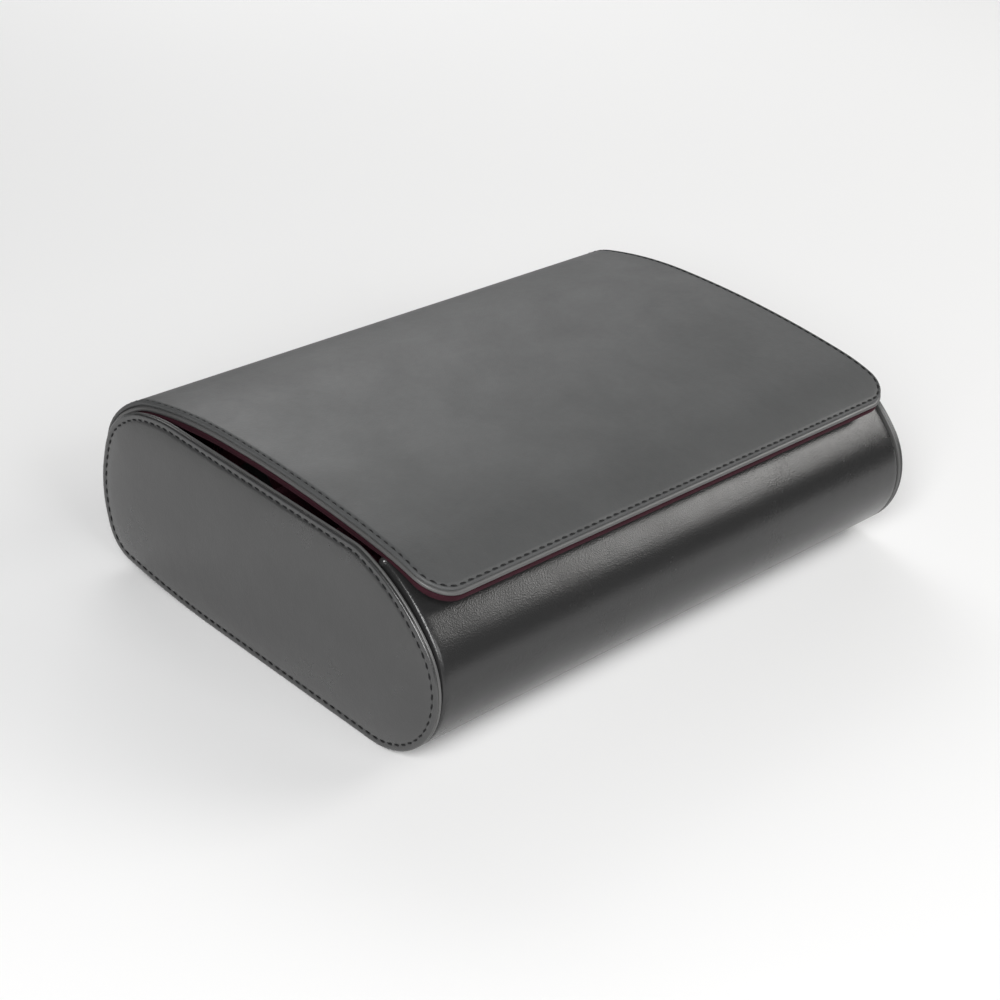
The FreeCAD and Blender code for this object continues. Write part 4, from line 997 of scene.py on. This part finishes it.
# the idler springs, as fixed coils on the case; the real ones shorten as their pins are pulled
for side, sg in (("left", -1), ("right", 1)):
    bm = bmesh.new()
    n, turns, low, high = 168, 6, 108.1, 120.4
    rings = []
    for i in range(n + 1):
        t = 2 * math.pi * turns * i / n
        x = sg * (low + (high - low) * i / n)
        lift = math.atan2(high - low, turns * 2 * math.pi * 5.3) * sg
        ring = []
        for k in range(10):
            w = 2 * math.pi * k / 10
            rad = 5.3 + 0.45 * math.cos(w)
            ring.append(bm.verts.new((x + 0.45 * math.sin(w) * math.cos(lift), 46.0 + rad * math.cos(t) + 0.45 * math.sin(w) * math.sin(lift) * math.sin(t), 41.0 + rad * math.sin(t) - 0.45 * math.sin(w) * math.sin(lift) * math.cos(t))))
        rings.append(ring)
    for r0, r1 in zip(rings, rings[1:]):
        for k in range(10):
            j = (k + 1) % 10
            bm.faces.new((r0[k], r0[j], r1[j], r1[k]))
    bm.faces.new(rings[0][::-1])
    bm.faces.new(rings[-1])
    bmesh.ops.recalc_face_normals(bm, faces=bm.faces)
    p = new_object(side + "_idler_coil", bm, HARD["steel"], 60.0)
    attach(p, "case"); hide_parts("idler_springs")
    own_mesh(p)

slot_of = {q["node"]: q["material_slot"] for q in frame["record"]["subparts"]}
SOFT_EDGE = {"lined_wood": 1.1, "black_plastic": 0.35, "board": 0.3, "gloss_black_plastic": 0.4, "knob_metal": 0.3, "steel": 0.2}
for name, o in nodes.items():
    sl = slot_of[name]
    o.data.materials.clear()
    # the end boards take the near-black board colour as well, painted shade where their edges show in the gaps
    o.data.materials.append(HARD["board"] if name.endswith("_end_board") else HARD[sl])
    if name == "drive_cover":
        continue
    w = o.modifiers.new("weld", "WELD")
    w.merge_threshold = 0.00001
    bv = o.modifiers.new("bevel", "BEVEL")
    bv.width = SOFT_EDGE.get(sl, 0.15) * MM
    bv.segments = 2
    bv.limit_method = "ANGLE"
    bv.angle_limit = math.radians(38)
    bv.harden_normals = False
    if sl in ("black_plastic", "gloss_black_plastic", "white_plastic"):
        wn = o.modifiers.new("weighted_normals", "WEIGHTED_NORMAL")
        wn.keep_sharp = True

# -------------------------------------------------------------------- stage
bm = bmesh.new()
bmesh.ops.create_grid(bm, x_segments=2, y_segments=2, size=6.0)
me = bpy.data.meshes.new("floor")
bm.to_mesh(me)
bm.free()
floor = bpy.data.objects.new("floor", me)
scene.collection.objects.link(floor)
floor.location = (0, 0, -0.0002)
fm = Mat("pale_floor", (0.93, 0.93, 0.93), 0.9, Specular_IOR_Level=0.0)
fm.color(fm.tint(fm.noise(0.6, 2.0), (0.925, 0.925, 0.925), (0.935, 0.935, 0.935)))
me.materials.append(fm.done())


def area(name, loc, target, size, power, color=(1, 1, 1), spread=180):
    d = bpy.data.lights.new(name, "AREA")
    d.shape = "RECTANGLE"
    d.size, d.size_y = size
    d.energy = power
    d.color = color
    d.spread = math.radians(spread)
    o = bpy.data.objects.new(name, d)
    scene.collection.objects.link(o)
    o.location = loc
    o.rotation_euler = (Vector(target) - Vector(loc)).to_track_quat("-Z", "Y").to_euler()
    return o


world = bpy.data.worlds.new("studio")
world.use_nodes = True
bg = world.node_tree.nodes["Background"]
bg.inputs[0].default_value = (1.0, 1.0, 1.0, 1.0)
bg.inputs[1].default_value = 0.0
# past the floor's edge the room is pale, and it lights nothing
_wn = world.node_tree
_pale = _wn.nodes.new("ShaderNodeBackground")
_pale.inputs[0].default_value = (0.80, 0.80, 0.80, 1.0)
_pick = _wn.nodes.new("ShaderNodeMixShader")
_wn.links.new(_wn.nodes.new("ShaderNodeLightPath").outputs["Is Camera Ray"], _pick.inputs[0])
_wn.links.new(bg.outputs[0], _pick.inputs[1])
_wn.links.new(_pale.outputs[0], _pick.inputs[2])
_wn.links.new(_pick.outputs[0], _wn.nodes["World Output"].inputs["Surface"])
scene.world = world
area("back_right_box", (1.0, 0.95, 0.85), (0, 0, 0.05), (1.3, 1.0), 4.9)
area("back_box", (0.55, 1.15, 0.85), (0.05, 0.05, 0.06), (0.9, 0.55), 4.5)
area("right_fill", (1.7, -0.1, 0.9), (0, 0, 0.05), (1.2, 0.9), 1.5)
area("front_right_box", (1.08, -0.76, 1.02), (0, -0.08, 0.06), (0.95, 0.42), 1.5, (1.0, 0.985, 0.96))
area("wall_highlight_box", (1.2, -0.62, 0.86), (0.05, -0.08, 0.06), (0.8, 0.42), 5.8, (1.0, 0.985, 0.96))
area("front_key", (-0.1, -1.7, 1.1), (0, 0, 0.04), (1.2, 0.8), 11.0)
area("left_key", (-1.4, -0.9, 1.2), (0, 0, 0.04), (1.0, 1.0), 37.5)


def card(name, loc, size, yaw):
    bm = bmesh.new()
    w, h = size
    for z in (0.0, h):
        for x in (-w / 2, w / 2):
            bm.verts.new((x, 0, z))
    bm.verts.ensure_lookup_table()
    bm.faces.new((bm.verts[0], bm.verts[1], bm.verts[3], bm.verts[2]))
    me = bpy.data.meshes.new(name)
    bm.to_mesh(me)
    bm.free()
    o = bpy.data.objects.new(name, me)
    scene.collection.objects.link(o)
    o.location = loc
    o.rotation_euler = (0, 0, yaw)
    me.materials.append(plastic("black_card", (0.01, 0.01, 0.01), 0.95))
    o.visible_camera = False
    return o


card("front_flag", (0.55, -0.80, 0.0), (1.3, 0.26), math.radians(40))
card("left_flag", (-0.54, 0.28, 0.0), (0.75, 0.30), math.radians(54.4))


cam_d = bpy.data.cameras.new("camera")
cam = bpy.data.objects.new("camera", cam_d)
scene.collection.objects.link(cam)
az, el, roll = math.radians(-47.742), math.radians(29.884), 0.1035
back = Vector((math.sin(az) * math.cos(el), -math.cos(az) * math.cos(el), math.sin(el)))
right = (-back).cross(Vector((0, 0, 1))).normalized()
up = right.cross(-back)
right, up = right * math.cos(roll) + up * math.sin(roll), -right * math.sin(roll) + up * math.cos(roll)
rot = Matrix((right, up, back)).transposed()
cam.matrix_world = Matrix.Translation(Vector((-0.57659, -0.51639, 0.46630))) @ rot.to_4x4()
cam_d.sensor_width = 36.0
cam_d.lens = 75.7
cam_d.clip_start, cam_d.clip_end = 0.02, 50.0
scene.camera = cam
scene.view_settings.view_transform = "Standard"
